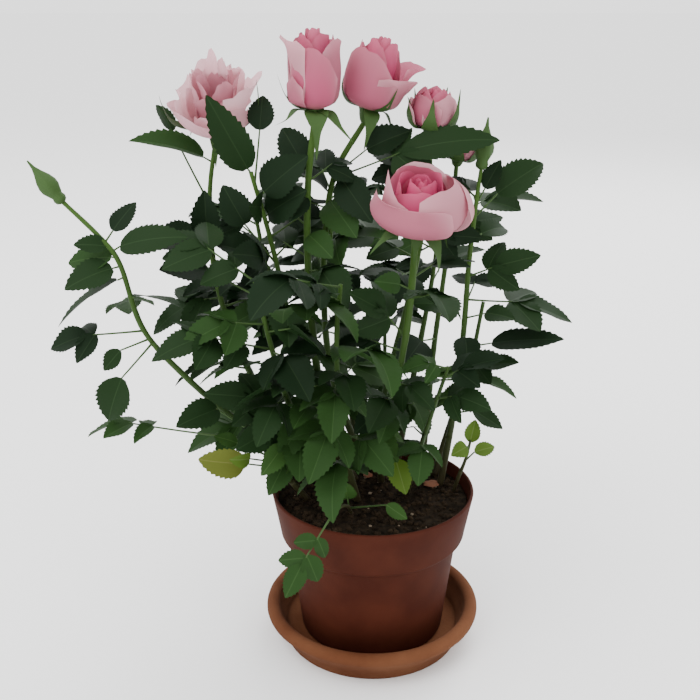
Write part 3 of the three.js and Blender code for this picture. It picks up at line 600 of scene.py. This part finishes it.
def grow_rule_leaves(foliage, cane, number, lag, reach_share, blade_share, seed):
    """The leaves between turn round the stem by the golden angle and lean outwards."""
    if not cane.blade:
        return
    stream = number_stream(number * 7919 + seed)
    curve = cane.curve
    length = curve.length * (1 - cane.split)
    steps = floor((length - (FLOWER_STALK if cane.bloom else 0)) / LEAF_SPACING)
    for k in range(steps + 1):
        share = min(cane.split + (k + lag) * LEAF_SPACING / curve.length, 0.99)
        start = curve.at(share)
        turns_made = k + (lag - LEAF_ROUNDS[0][0]) * 2
        angle = number * CANE_TURN + turns_made * GOLDEN_ANGLE + 0.5 * (next(stream) - 0.5)
        outward = Vector((start.x - MIDDLE[0], start.y - MIDDLE[1], 0)).normalized()
        heading = (level(angle) + outward * OUTWARD).normalized()
        climb = lerp(-0.3, 0.4, (start.z - SOIL_TOP) / CLIMB_OVER) + 0.25 * (next(stream) - 0.5)
        reach = LEAF_REACH * reach_share * (cane.blade / BLADE) * (0.85 + 0.3 * next(stream))
        tip = start + heading * (reach * cos(climb)) + UP * (reach * sin(climb))
        lean = 2 * pi * next(stream)
        facing = UP + level(lean) * RULE_FACING
        blade = cane.blade * (1 + 0.25 * next(stream)) * blade_share
        if not is_open(cane, start.z, heading):
            tint = tint_for(cane, start.z)
            foliage.grow_leaf(cane, start, tip, RULE_LEAFLETS, blade, RULE_ARCH, facing, tint)


# ---------- flowers
PETAL_STEPS = 14
PETAL_LAP = 1.0  # how far one edge lies outside the other
EDGE_ROLL = 0.7  # of both edges outwards
CORNER = 0.22  # how much lower a petal is at its sides
LIP_START = 0.6  # of a petal's length
SEPAL_STEPS = 14
BUD_SIDES = 20
HIP_SIDES = 14
HEART_ROOM = 4  # height of the heart above the outer petals
# Petal tints. The deep rose of the heart and the palest pink are partly painted light: brighter than the
# petals' own colour, standing for light passing through petals in shade.
BLUSH_AND_PAINTED_LIGHT = np.array((0.92, 0.66, 0.69))
PALE = np.array((0.46, 0.155, 0.21))
ROSE_AND_PAINTED_LIGHT = np.array((0.62, 0.05, 0.185))
CREAM = np.array((0.34, 0.25, 0.17))


def frame_for(aim):
    """Sideways, back and forward for a flower that faces a direction."""
    axis = Vector(aim).normalized()
    side = (RIGHT - axis * RIGHT.dot(axis)).normalized()
    return side, axis.cross(side), axis


def away(axes, angle):
    """The direction out of a flower's axis, at an angle round it."""
    return axes[0] * cos(angle) + axes[1] * sin(angle)


def profile_at(profile, t):
    """(radius, height) at a share of the way along a bent line of points, smoothed."""
    points = [Vector((r, z, 0)) for r, z in profile]
    p = catmull_point(points, min(max(t, 0.0), 1.0))
    return max(p.x, 0.1), p.y


def up_lip(t):
    """From 0 where a petal's lip starts to 1 at its edge."""
    return max(0.0, (t - LIP_START) / (1 - LIP_START))


def add_petal(heap, base, axes, azimuth, spec, scale):
    """A broad sheet from base to lip, wrapped round the flower's axis, its top rounded.

    One edge lies inside the next petal and the other outside it, so petals overlap like tiles.
    """
    _, half_angle, profile, point, ruffle, rose = spec
    rows, tints = [], []
    phase = draw.uniform(0, 6)
    peak = draw.uniform(-0.15, 0.15)
    for t in shares(PETAL_STEPS):
        spread = half_angle * (0.3 + 0.7 * sin(pi / 2 * min(1.0, t / 0.5)) ** 0.8)
        lip = up_lip(t) ** 2
        row, shades = [], []
        for share in shares(PETAL_STEPS):
            s = 2 * share - 1
            crown = 1 - CORNER * abs(s - peak) ** 3 + point * max(0.0, 1 - 2.2 * abs(s - peak)) ** 1.6
            crown += 0.016 * ruffle * (sin(5 * phase + 9 * s) + 0.7 * sin(3 * phase + 17 * s))
            radius, height = profile_at(profile, t * crown / (1 + point))
            radius += (PETAL_LAP * s + EDGE_ROLL * s ** 4) * (0.3 + 0.7 * t)
            radius += ruffle * lip * (sin(phase + 2.6 * s) + 0.5 * sin(2 * phase + 6.5 * s))
            height += 0.6 * ruffle * lip * sin(3 * phase + 4.4 * s)
            ray = away(axes, azimuth + s * spread)
            row.append(tuple(base + (ray * radius + axes[2] * height) * scale))
            shades.append(petal_shade(rose, t, s))
        rows.append(row)
        tints.append(shades)
    heap.add_grid(rows, tints=tints)


def petal_shade(rose, t, s):
    """Creamy at the foot, rose in the flower's heart, pale at the edges, and paler still below a rose of
    0. The heart's rose and the paler tint are partly the petals' own colour and partly painted light,
    lightening petals that sit in shade as if light passed through them.
    """
    edge = min(1.0, 0.55 * up_lip(t) + 0.5 * abs(s) ** 4)
    depth = rose * (1 - 0.6 * edge) - 0.3 * edge
    foot = 0.8 * max(0.0, 1 - t / 0.4) ** 1.3
    colour = PALE * (1 - abs(depth)) + (ROSE_AND_PAINTED_LIGHT if depth > 0 else BLUSH_AND_PAINTED_LIGHT) * abs(depth)
    colour = colour * (1 - foot) + CREAM * foot
    return (*colour, 1.0)


# Petals from the heart outwards: directions in degrees (270 is to the front), half the angle that each
# spans, profile (radius, height) from base to lip, the lip's point and ruffle, and the depth of rose,
# which is partly painted light.
PETALS = {
    "half": [
        ((20, 140, 260), 1.5, [(0.6, 5), (3.4, 9), (3.6, 16), (1.4, 22.5)], 0, 0.1, 0.7),
        ((80, 200, 320), 1.35, [(1, 4.5), (6.4, 8), (7.2, 15), (4.2, 23.5)], 0.05, 0.2, 0.5),
        ((10, 130), 1.3, [(1.2, 4.2), (8.6, 7), (10, 14), (6.6, 22.6)], 0.1, 0.3, 0.25),
        ((215,), 1.2, [(1.2, 4), (8.8, 7), (10.2, 13.6), (8.4, 20)], 0, 0.3, 0.2),
        ((310,), 1.25, [(1.3, 3.8), (9.2, 6.5), (10.8, 13), (7.8, 22)], 0.1, 0.3, -0.15),
        ((180,), 0.8, [(1.4, 3.6), (9.6, 6.5), (11.8, 12), (12.2, 17)], 0, 0.5, -0.3),
    ],
    "goblet": [
        ((30, 150, 270), 1.5, [(0.8, 9), (3.4, 14), (4.4, 28), (2.8, 42.5)], 0, 0.3, 0.6),
        ((90, 210, 330), 1.4, [(1, 8.5), (6.2, 13), (7.4, 27), (5.8, 40.5)], 0, 0.6, 0.7),
        ((20, 140), 1.25, [(1.4, 8), (9, 12.4), (10.2, 25), (9, 39.5)], 0.04, 0.9, 0.4),
        ((85,), 1.1, [(1.5, 7.8), (9.8, 11.6), (11.2, 25), (11, 38.5)], 0.05, 0.9, 0.2),
        ((195,), 1.05, [(1.6, 7.6), (10.2, 11.6), (11.6, 24), (11.8, 33), (14.4, 39)], 0, 1.5, -0.25),
        ((345,), 1.05, [(1.7, 7.4), (10.2, 11.6), (12, 23), (11.6, 32), (12, 38)], 0, 0.9, 0.05),
        ((268,), 0.85, [(1.8, 7.2), (10.4, 11.2), (12.8, 21), (11.6, 34.5)], 0, 0.5, 0.45),
        ((225,), 0.5, [(1.8, 7.2), (10.8, 10.6), (13, 15), (13.4, 23)], 0.1, 0.5, 0.1),
    ],
    "spread": [
        ((30, 150, 270), 1.5, [(0.8, 8), (3.4, 13), (4.4, 26), (2.6, 39.5)], 0, 0.3, 0.6),
        ((90, 210, 330), 1.4, [(1, 7.5), (6.8, 12), (8, 25), (6, 38)], 0, 0.5, 0.7),
        ((60, 170), 1.25, [(1.4, 7), (9.6, 11), (11.4, 23), (9.8, 36.5)], 0.05, 0.7, 0.4),
        ((115,), 1.15, [(1.5, 6.8), (10.6, 10.4), (12.6, 22), (12.6, 34)], 0.05, 0.9, 0.2),
        ((20,), 1.0, [(1.6, 6.6), (11, 10), (13.6, 19), (16.6, 27), (20.5, 31.5)], 0.06, 1.3, 0.35),
        ((325,), 0.9, [(1.7, 6.4), (11.4, 9.8), (14.6, 17), (18, 23), (22, 25)], 0.25, 0.8, -0.1),
        ((240,), 1.15, [(1.8, 6.2), (11.8, 9.6), (14.6, 19), (12.8, 33.5)], 0.02, 0.5, 0.25),
    ],
    "open": [
        ((20, 140, 260), 1.5, [(0.6, 8), (2.4, 14), (3, 22), (1.8, 28)], 0, 0.4, 1.0),
        ((80, 200, 320), 1.35, [(0.8, 7.5), (5, 13), (6.4, 21), (5.4, 28.5)], 0, 0.6, 1.0),
        ((30, 150), 1.2, [(1, 7), (8.6, 12), (10.4, 20), (9.2, 29)], 0, 0.6, 0.9),
        ((95,), 1.4, [(1, 7), (11.4, 11), (13.4, 19), (11, 30)], 0, 0.4, 0.6),
        ((280,), 1.5, [(1, 7), (11.6, 10.4), (14.2, 17), (11, 27)], 0.05, 0.3, 0.95),
        ((85,), 0.85, [(1.1, 6.6), (12.6, 9.5), (15.6, 18), (14, 27), (11, 31.5)], 0, 0.4, -0.5),
        ((200,), 1.0, [(1.2, 6.4), (12.6, 9), (16.4, 15), (16.2, 24), (17, 35)], 0.35, 0.3, -0.1),
        ((350,), 1.5, [(1.3, 6.2), (15.4, 8.4), (20.6, 15), (18.8, 23), (13, 28.5)], 0, 0.4, -0.15),
        ((240,), 1.15, [(1.4, 6), (15.4, 7.8), (21.2, 13.5), (19.4, 21), (20.2, 22.4)], 0, 0.5, 0.05),
        ((30,), 1.0, [(1.3, 6.2), (16, 8.2), (23.6, 14), (22, 21.5), (17, 26.5)], 0.03, 0.5, -0.3),
    ],
    "ruffled": [
        ((70, 190, 310), 1.2, [(0.8, 8), (4, 12), (6, 21), (7, 32)], 0, 1.6, -0.1),
        ((30, 150), 1.1, [(1, 7.5), (7, 11), (9.6, 20), (11, 32)], 0, 2.4, -0.3),
        ((265,), 1.0, [(1, 7.5), (7, 11), (9.6, 18), (10, 25)], 0, 2.0, -0.2),
        ((85,), 0.9, [(1.1, 7.2), (8, 11), (9, 24), (6, 41)], 0, 3.2, -0.6),
        ((40, 130), 0.95, [(1.2, 7), (10, 10), (13, 20), (15, 33)], 0, 3.2, -0.7),
        ((350,), 1.1, [(1.3, 6.8), (11, 10), (14.6, 20), (18.5, 33)], 0, 2.4, -0.8),
        ((165,), 0.9, [(1.4, 6.6), (11, 9), (15, 15), (20, 24)], 0, 2.8, -0.8),
        ((215,), 1.1, [(1.5, 6.4), (12.6, 8.4), (18.4, 13), (21, 20)], 0, 1.6, -0.5),
        ((295,), 1.05, [(1.5, 6.2), (12, 8.6), (16, 15), (17, 24)], 0, 1.8, -0.6),
    ],
}
# Sepals: direction in degrees, half the width, path (radius, height).
SEPALS = {
    "half": [(262, 4.6, [(3.2, 3.8), (9.6, 4.4), (12.6, 10), (12, 16), (12.6, 20)]),
             (322, 4.2, [(3.2, 3.8), (9.8, 5), (13, 12), (13.2, 18), (13, 25)]),
             (204, 4.2, [(3.2, 3.8), (9.8, 5), (13, 11), (13, 16), (14.4, 19)]),
             (60, 3.2, [(3.2, 3.8), (9.8, 5), (12.6, 12), (12.4, 18), (13, 22)]),
             (130, 3.2, [(3.2, 3.8), (9.8, 5), (12.8, 11), (13, 16), (14, 20)])],
    "goblet": [(196, 4.2, [(4, 7.4), (9.5, 9.6), (13.6, 15), (16.6, 23.5)]),
               (216, 4.2, [(4, 7.2), (9.5, 7.6), (14.5, 4), (21, 2)]),
               (280, 6, [(4, 7.2), (7.6, 5.4), (8.4, -2), (6.4, -14)]),
               (322, 4.2, [(4, 7.2), (9, 5.6), (15, 0.5), (22, -5)]),
               (90, 3.2, [(4, 7.2), (10, 7), (16, 1), (20, -6)])],
    "spread": [(306, 4.2, [(4, 6.8), (11, 8), (15.2, 13), (17.4, 20)]),
               (286, 4.6, [(4, 6.8), (7.5, 4), (9, -3), (9, -11)]),
               (200, 3, [(4, 6.8), (11, 8), (14.8, 13), (15.6, 19)]),
               (90, 3.2, [(4, 6.8), (10, 7), (16, 1), (20, -6)]),
               (30, 3, [(4, 6.8), (10, 6), (15, 0), (18, -8)])],
    "open": [(206, 5, [(4.4, 6), (10, 6), (17, 1.6), (22, -3.6)]),
             (312, 5.4, [(4.4, 6), (9, 4.6), (14, -1.4), (15.6, -9)]),
             (268, 3, [(4.4, 6), (6.6, 4), (8, -1), (7.4, -8)]),
             (90, 3.4, [(4.4, 6), (10, 6), (16, 1), (20, -5)]),
             (30, 3.2, [(4.4, 6), (10, 5), (15, 0), (18, -7)])],
    "ruffled": [(354, 4.4, [(4.4, 6.4), (13, 8.4), (19.6, 16), (20, 25), (18.6, 34)]),
                (192, 3.4, [(4.4, 6.4), (13, 6.6), (21, 10), (25, 19), (26, 24)]),
                (275, 3.2, [(4.4, 6.4), (7.5, 4), (9, -3), (9, -10)]),
                (90, 3.4, [(4.4, 6.4), (10, 6), (16, 1), (20, -5)]),
                (140, 3.2, [(4.4, 6.4), (10, 5), (15, 0), (18, -7)])],
}
HIPS = {
    "bud": [(1.3, 0), (2.6, 0.9), (3.1, 2.4), (2.7, 4), (3.3, 5.4), (4.3, 8.2), (4.4, 10.6), (3.6, 13.6),
            (2.0, 17), (0.9, 20), (0.35, 24)],
    "half": [(1.3, 0), (2.8, 1.0), (3.4, 2.6), (3.8, 3.8), (4.4, 4.8)],
    "goblet": [(1.5, 0), (2.5, 1.2), (3.4, 3.6), (3.9, 6), (4.8, 8)],
    "spread": [(1.5, 0), (2.5, 1.2), (3.4, 3.6), (3.9, 5.6), (4.8, 7.4)],
    "open": [(1.6, 0), (2.8, 1.2), (3.6, 3.2), (4.1, 4.8), (5.0, 6.2)],
    "ruffled": [(1.6, 0), (2.8, 1.2), (3.6, 3.6), (4.1, 5.4), (5.0, 6.8)],
}


def add_sepal(heap, base, axes, azimuth, half, profile, scale):
    """A pointed sepal, broad below its middle and folded a little along it."""
    axis = axes[2]
    ray = away(axes, azimuth)
    across = axis.cross(ray)
    twist = draw.uniform(-0.4, 0.4)
    rows = []
    for t in shares(SEPAL_STEPS):
        radius, height = profile_at(profile, t)
        near_radius, near_height = profile_at(profile, t - 0.05)
        far_radius, far_height = profile_at(profile, t + 0.05)
        point = base + (ray * radius + axis * height) * scale
        ahead = (ray * (far_radius - near_radius) + axis * (far_height - near_height)).normalized()
        lift = across.cross(ahead)
        width = half * scale * (1 - t) ** 0.8 * (0.62 + 0.55 * sin(pi * min(1, t * 1.5))) + 0.1
        flat = (across + lift * (twist * t)).normalized()
        droop = lift * (0.22 * width)
        rows.append([tuple(point + flat * (x * width) - droop * abs(x)) for x in (-1, 0, 1)])
    heap.add_grid(rows)


def add_bud(axes, base, greens):
    """A closed bud: its five sepals meet in one long point."""
    rows = []
    for r, z in HIPS["bud"]:
        row = []
        for a in turns(BUD_SIDES):
            ridge = 0.09 * max(0.0, min(1.0, (z - 5) / 3)) * cos(5 * a)
            row.append(tuple(base + axes[2] * z + away(axes, a) * (r * (1 + ridge))))
        rows.append(row)
    greens.add_grid(rows, closed=True)


def turned_rows(profile, base, axes, scale, sides):
    """A profile (radius, height) turned round a flower's axis."""
    side, _, axis = axes
    return [ring(base + axis * (z * scale), axis, side, r * scale, sides) for r, z in profile]


def add_flower(cane, petals, greens):
    kind, scale = cane.bloom, cane.flower
    axes = frame_for(cane.aim)
    base = cane.curve.at(1) - axes[2]
    if kind == "bud":
        add_bud(axes, base, greens)
        return
    greens.add_grid(turned_rows(HIPS[kind], base, axes, scale, HIP_SIDES), closed=True)
    for spec in PETALS[kind]:
        for degrees in spec[0]:
            add_petal(petals, base, axes, radians(degrees), spec, scale)
    for degrees, half, profile in SEPALS[kind]:
        add_sepal(greens, base, axes, radians(degrees), half, profile, scale)


def keep_flower_clear(cane):
    """A flower's outer form, which leaves mustn't touch."""
    axes = frame_for(cane.aim)
    outer = HIPS["bud"]
    if cane.bloom != "bud":
        profile = PETALS[cane.bloom][-1][2]
        outer = [(3, 0), *profile, (1, profile[-1][1] + HEART_ROOM)]
    heap = round_heap(turned_rows(outer, cane.curve.at(1) - axes[2], axes, cane.flower, 10))
    space.keep(heap.points, heap.faces, f"bloom {cane.name}")


# ---------- materials
LIGHT_THROUGH = 0.4  # share of the light that a petal lets through


def surface_of(material):
    return material.node_tree.nodes["Principled BSDF"]


def plain_material(name, colour, roughness, gloss):
    """One colour; gloss is how much it mirrors, with 0.5 for ordinary plastic."""
    material = bpy.data.materials.new(name)
    material.use_nodes = True
    inputs = surface_of(material).inputs
    inputs["Base Color"].default_value = (*colour, 1)
    inputs["Roughness"].default_value = roughness
    inputs["Specular IOR Level"].default_value = gloss
    return material


def add_node(material, kind, **values):
    node = material.node_tree.nodes.new(kind)
    for name, value in values.items():
        node.inputs[name.replace("_", " ")].default_value = value
    return node


def join(output, *inputs):
    for socket in inputs:
        output.id_data.links.new(output, socket)


def ramp_colour(material, value, stops):
    """The surface's colour goes through (share, colour) stops as a value rises."""
    ramp = add_node(material, "ShaderNodeValToRGB")
    elements = ramp.color_ramp.elements
    for share, _ in stops[1:-1]:
        elements.new(share)
    for element, (share, colour) in zip(elements, stops):
        element.position = share
        element.color = (*colour, 1)
    join(value, ramp.inputs["Fac"])
    join(ramp.outputs["Color"], surface_of(material).inputs["Base Color"])


def mottled_material(name, colours, scale, roughness, gloss, bump=0.0, bump_scale=400):
    """Two colours mixed by noise, with a fine bump."""
    material = plain_material(name, colours[0], roughness, gloss)
    place = add_node(material, "ShaderNodeTexCoord").outputs["Object"]
    grain = add_node(material, "ShaderNodeTexNoise", Scale=scale, Detail=6)
    join(place, grain.inputs["Vector"])
    ramp_colour(material, grain.outputs["Fac"], [(0.35, colours[0]), (0.65, colours[1])])
    if bump:
        fine = add_node(material, "ShaderNodeTexNoise", Scale=bump_scale, Detail=4)
        join(place, fine.inputs["Vector"])
        relief = add_node(material, "ShaderNodeBump", Strength=bump, Distance=0.0006)
        join(fine.outputs["Fac"], relief.inputs["Height"])
        join(relief.outputs["Normal"], surface_of(material).inputs["Normal"])
    return material


def stem_material():
    """Brown and woody near the soil, green above."""
    material = plain_material("stem", (0.06, 0.10, 0.03), 0.6, 0.15)
    place = add_node(material, "ShaderNodeTexCoord").outputs["Object"]
    parts = add_node(material, "ShaderNodeSeparateXYZ")
    join(place, parts.inputs["Vector"])
    height = add_node(material, "ShaderNodeMapRange", From_Min=SOIL_TOP * MM, From_Max=0.25)
    join(parts.outputs["Z"], height.inputs["Value"])
    stops = [(0, (0.034, 0.026, 0.012)), (0.3, (0.021, 0.046, 0.009)), (1, (0.036, 0.082, 0.011))]
    ramp_colour(material, height.outputs["Result"], stops)
    return material


def petal_material():
    """Each petal's tint, partly painted light; part of the light passes through."""
    material = plain_material("petal", PALE, 0.7, 0.1)
    surface = surface_of(material)
    tint = add_node(material, "ShaderNodeAttribute")
    tint.attribute_name = "tint"
    glow = add_node(material, "ShaderNodeBsdfTranslucent")
    blend = add_node(material, "ShaderNodeMixShader", Fac=LIGHT_THROUGH)
    colour = tint.outputs["Color"]
    join(colour, surface.inputs["Base Color"], glow.inputs["Color"])
    join(surface.outputs["BSDF"], blend.inputs[1])
    join(glow.outputs["BSDF"], blend.inputs[2])
    join(blend.outputs["Shader"], material.node_tree.nodes["Material Output"].inputs["Surface"])
    return material


# ---------- canes, stems and leaves
STEM_STEP = 2.5
ROOM_STEP = 8  # of the simple solids that leaves keep clear of
BOUGH_SIDES = 12
STEM_SIDES = 10

for cane in CANES:
    cane.curve = Curve(cane.path)
    cane.split = cane.curve.share_at_height(cane.bare)


def stem_points(cane, start, end, step):
    """Points and radii along a cane, between two shares of its length."""
    curve = cane.curve
    count = max(2, ceil(curve.length * (end - start) / step))
    marks = [lerp(start, end, t) for t in shares(count)]
    return [curve.at(t) for t in marks], [lerp(cane.foot, cane.tip, t) for t in marks]


def add_stem(heap, cane, start, end, sides):
    """A limb with slight knots along it."""
    path, radii = stem_points(cane, start, end, STEM_STEP)
    radii = [r * (1 + 0.10 * noise(p * 0.09) + 0.07 * noise(p * 0.35)) for p, r in zip(path, radii)]
    tube(heap, path, radii, sides)


def plant_canes():
    boughs, stems = Heap(), Heap()
    for cane in CANES:
        path, _ = stem_points(cane, 0, 1, ROOM_STEP)
        space.keep(*limb_solid(path, (cane.foot + cane.tip) / 2), cane.name)
        add_stem(boughs, cane, 0, cane.split, BOUGH_SIDES)
        add_stem(stems, cane, cane.split, 1, STEM_SIDES)
        if cane.bloom:
            keep_flower_clear(cane)
    return boughs, stems


def keep_pot_clear():
    """The pot and the soil in it, for the leaves."""
    outline = [(POT_FOOT_RADIUS, POT_LOW.z), (COLLAR_RADIUS, POT_HIGH.z - COLLAR_HEIGHT),
               (POT_RADIUS + 0.4, POT_HIGH.z), (POT_RADIUS - WALL - 0.4, POT_HIGH.z),
               (COLLAR_RADIUS - WALL, FOOT), (0.5, FOOT)]
    heap = round_heap([level_ring(r, z, 32) for r, z in outline])
    space.keep(heap.points, heap.faces, "pot")


keep_pot_clear()
boughs, stems = plant_canes()
foliage = Foliage()
for cane in CANES:
    grow_shown_leaves(foliage, cane)
for leaf_round in LEAF_ROUNDS:
    for number, cane in enumerate(CANES):
        grow_rule_leaves(foliage, cane, number, *leaf_round)

cane_nodes = [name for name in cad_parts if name.startswith("cane_")]
spray_nodes = [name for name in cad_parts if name.startswith("spray_")]

bark = stem_material()
boughs.show("boughs", [bark], cane_nodes, "cane")
stems.show("stems", [bark], spray_nodes, "foliage")
stalk_green = plain_material("stalk", (0.035, 0.07, 0.018), 0.6, 0.15)
foliage.twigs.show("leaf_stalks", [stalk_green], spray_nodes, "foliage")
for tint, heap in foliage.leaves.items():
    if heap.points:
        blade_colour, rib_colour = TINTS[tint]
        materials = [plain_material(f"leaf_{tint}", blade_colour, 0.6, 0.08),
                     plain_material(f"rib_{tint}", rib_colour, 0.6, 0.1)]
        heap.show(f"leaves_{tint}", materials, spray_nodes, "foliage")

petals, greens = Heap(), Heap()
for cane in CANES:
    if cane.bloom:
        add_flower(cane, petals, greens)
petals.show("petals", [petal_material()], spray_nodes, "foliage")
green = plain_material("sepal", (0.035, 0.075, 0.018), 0.6, 0.15)
greens.show("sepals_and_hips", [green], spray_nodes, "foliage")


# ---------- pot, saucer and soil
TURNED_SIDES = 128
SOIL_RINGS = 60
SOIL_SIDES = 160
SKIRT_DEPTH = 6  # of the soil's rim below its surface
CRUMBS = 900
CRUMB_SPREAD = 46.5  # radius
CRUMB_SIZES = (0.4, 1.6)
GRIT_EVERY = 26  # crumbs of soil to one of pale grit
GRIT_SIZE = 0.6  # of a crumb's
DRY_LEAVES = [(32, 12, 4.6), (-2, 22, 3.2)]  # (x, y, radius)


def arc(centre, radius, start, end, steps):
    angles = [lerp(start, end, t) for t in shares(steps)]
    return [(centre[0] + radius * cos(a), centre[1] + radius * sin(a)) for a in angles]


def show_turned(node, profile, material):
    """A turned piece. Its profile ends on the axis or where it began."""
    heap = round_heap([level_ring(max(r, 0.05), z, TURNED_SIDES) for r, z in profile])
    heap.show(f"{node}_body", [material], [node], node)


def show_pot():
    foot, rim = POT_LOW.z, POT_HIGH.z
    collar = rim - COLLAR_HEIGHT
    profile = [
        (DRAIN_RADIUS, foot + WALL), (DRAIN_RADIUS, foot), (POT_FOOT_RADIUS - 2, foot),
        *arc((POT_FOOT_RADIUS - POT_EDGE, foot + POT_EDGE), POT_EDGE, -pi / 2, -0.1, 4),
        (SHOULDER_RADIUS - 0.2, collar - 5.4), (SHOULDER_RADIUS + 0.2, collar - 4.4),
        *arc((COLLAR_RADIUS - 3.4, collar + 0.2), 3.2, -pi / 2 + 0.5, -0.05, 5),
        (COLLAR_RADIUS, collar + 1.4), (lerp(COLLAR_RADIUS, POT_RADIUS, 0.5), collar + 12),
        *arc((POT_RADIUS - WALL / 2, rim - WALL / 2), WALL / 2, 0, pi, 6),
        (COLLAR_RADIUS - WALL, collar + 1), (SHOULDER_RADIUS - WALL, collar - 4.5),
        (POT_FOOT_RADIUS - WALL, foot + WALL + 0.6), (DRAIN_RADIUS, foot + WALL),
    ]
    browns = [(0.037, 0.0078, 0.0036), (0.052, 0.012, 0.0056)]
    show_turned("pot", profile, mottled_material("pot", browns, 45, 0.7, 0.08, 0.08, 900))


def show_saucer():
    lip = (SAUCER_HIGH.x - SAUCER_MOUTH_RADIUS) / 2
    profile = [
        (0, 0), (SAUCER_FOOT_RADIUS, 0),
        *arc((SAUCER_FOOT_RADIUS, SAUCER_EDGE), SAUCER_EDGE, -pi / 2, 0, 3), SAUCER_OUTSIDE,
        *arc((SAUCER_MOUTH_RADIUS + lip, SAUCER_HIGH.z - lip), lip, -0.45, pi, 12), SAUCER_INSIDE,
        *arc((SAUCER_FLOOR_RADIUS, SAUCER_FLOOR + SAUCER_CORNER), SAUCER_CORNER, 0, -pi / 2, 5),
        (0, SAUCER_FLOOR),
    ]
    clays = [(0.08, 0.026, 0.0105), (0.125, 0.049, 0.022)]
    show_turned("saucer", profile, mottled_material("saucer", clays, 28, 0.9, 0.1, 0.35, 700))


def soil_height(x, y):
    """Lumpy soil: broad waves, with smaller ones on them."""
    p = Vector((x, y, 0))
    return SOIL_TOP + 0.4 + 1.1 * noise(p * 0.08) + 0.7 * noise(p * 0.3) + 0.35 * noise(p * 0.9)


def show_soil():
    edge = lerp(COLLAR_RADIUS, POT_RADIUS, 0.7) - WALL - CLEARANCE
    rows = []
    for k in range(SOIL_RINGS + 1):
        radius = max(edge * k / SOIL_RINGS, 0.1)
        spots = [(radius * cos(a), radius * sin(a)) for a in turns(SOIL_SIDES)]
        rows.append([(x, y, soil_height(x, y)) for x, y in spots])
    rows.append([(x * 0.97, y * 0.97, SOIL_TOP - SKIRT_DEPTH) for x, y, _ in rows[-1]])
    browns = [(0.008, 0.006, 0.004), (0.026, 0.018, 0.011)]
    earth = mottled_material("soil", browns, 260, 0.95, 0.05, 0.6, 1400)
    round_heap(rows).show("soil_surface", [earth], ["soil"], "soil")


def add_lump(heap, centre, size, squash=0.7):
    """An irregular crumb."""
    turn = draw.uniform(0, 6)
    rows = []
    for k in range(5):
        latitude = -pi / 2 + pi * k / 4
        row = []
        for a in turns(6):
            r = size * (1 + 0.45 * (draw.random() - 0.5))
            spoke = max(cos(latitude), 0.05) * r
            row.append((centre[0] + spoke * cos(turn + a), centre[1] + spoke * sin(turn + a),
                        centre[2] + sin(latitude) * r * squash))
        rows.append(row)
    heap.add_grid(rows, closed=True)


def show_crumbs():
    """Loose crumbs on the soil, a few of them pale grit."""
    dark, pale = Heap(), Heap()
    for k in range(CRUMBS):
        radius = CRUMB_SPREAD * sqrt(draw.random())
        a = draw.uniform(0, 2 * pi)
        x, y = radius * cos(a), radius * sin(a)
        size = draw.uniform(*CRUMB_SIZES)
        place = (x, y, soil_height(x, y) + 0.2 * size)
        if k % GRIT_EVERY:
            add_lump(dark, place, size)
        else:
            add_lump(pale, place, size * GRIT_SIZE)
    peat = mottled_material("crumbs", [(0.010, 0.007, 0.005), (0.04, 0.027, 0.016)], 150, 0.95, 0.05)
    dark.show("soil_crumbs", [peat], ["soil"], "soil", smooth=False)
    grit = plain_material("grit", (0.20, 0.155, 0.11), 0.9, 0.05)
    pale.show("soil_grit", [grit], ["soil"], "soil", smooth=False)


def show_dry_leaves():
    scraps = Heap()
    for x, y, size in DRY_LEAVES:
        add_lump(scraps, (x, y, soil_height(x, y) + 1.2), size, squash=0.22)
    brown = plain_material("dry_leaf", (0.20, 0.085, 0.05), 0.8, 0.1)
    scraps.show("dry_leaves", [brown], ["soil"], "soil")


show_pot()
show_saucer()
show_soil()
show_crumbs()
show_dry_leaves()


# ---------- floor, light and camera, in metres
FLOOR_SIZE = 40
FLOOR_GREY = (0.96, 0.96, 0.96)
SKY_STRENGTH = 2.0
LAMPS = (  # name, place, aim, size, power
    ("key", (-0.7, -0.7, 1.3), (0, 0, 0.15), 0.9, 12),
    ("back", (0.5, 1.1, 1.2), (0, 0, 0.2), 1.0, 16),
)
LENS = 51.43
SENSOR_WIDTH = 36
CAMERA_PLACE = (-0.0119, -0.4698, 0.3279)
CAMERA_TILT = 70.46  # degrees up from straight down


def make_stage():
    bpy.ops.mesh.primitive_plane_add(size=FLOOR_SIZE)
    ground = bpy.context.object
    ground.name = "floor"
    ground.data.materials.append(plain_material("floor", FLOOR_GREY, 0.9, 0.0))
    world = bpy.context.scene.world or bpy.data.worlds.new("studio")
    bpy.context.scene.world = world
    world.use_nodes = True
    sky = world.node_tree.nodes["Background"].inputs
    sky["Color"].default_value = (1, 1, 1, 1)
    sky["Strength"].default_value = SKY_STRENGTH
    for name, place, aim, size, power in LAMPS:
        data = bpy.data.lights.new(name, "AREA")
        data.size = size
        data.energy = power
        lamp = place_object(name, data)
        lamp.location = place
        lamp.rotation_euler = (Vector(aim) - Vector(place)).to_track_quat("-Z", "Y").to_euler()


def make_camera():
    data = bpy.data.cameras.new("camera")
    data.lens = LENS
    data.sensor_width = SENSOR_WIDTH
    camera = place_object("camera", data)
    camera.location = CAMERA_PLACE
    camera.rotation_euler = (radians(CAMERA_TILT), 0, 0)
    bpy.context.scene.camera = camera


make_stage()
make_camera()
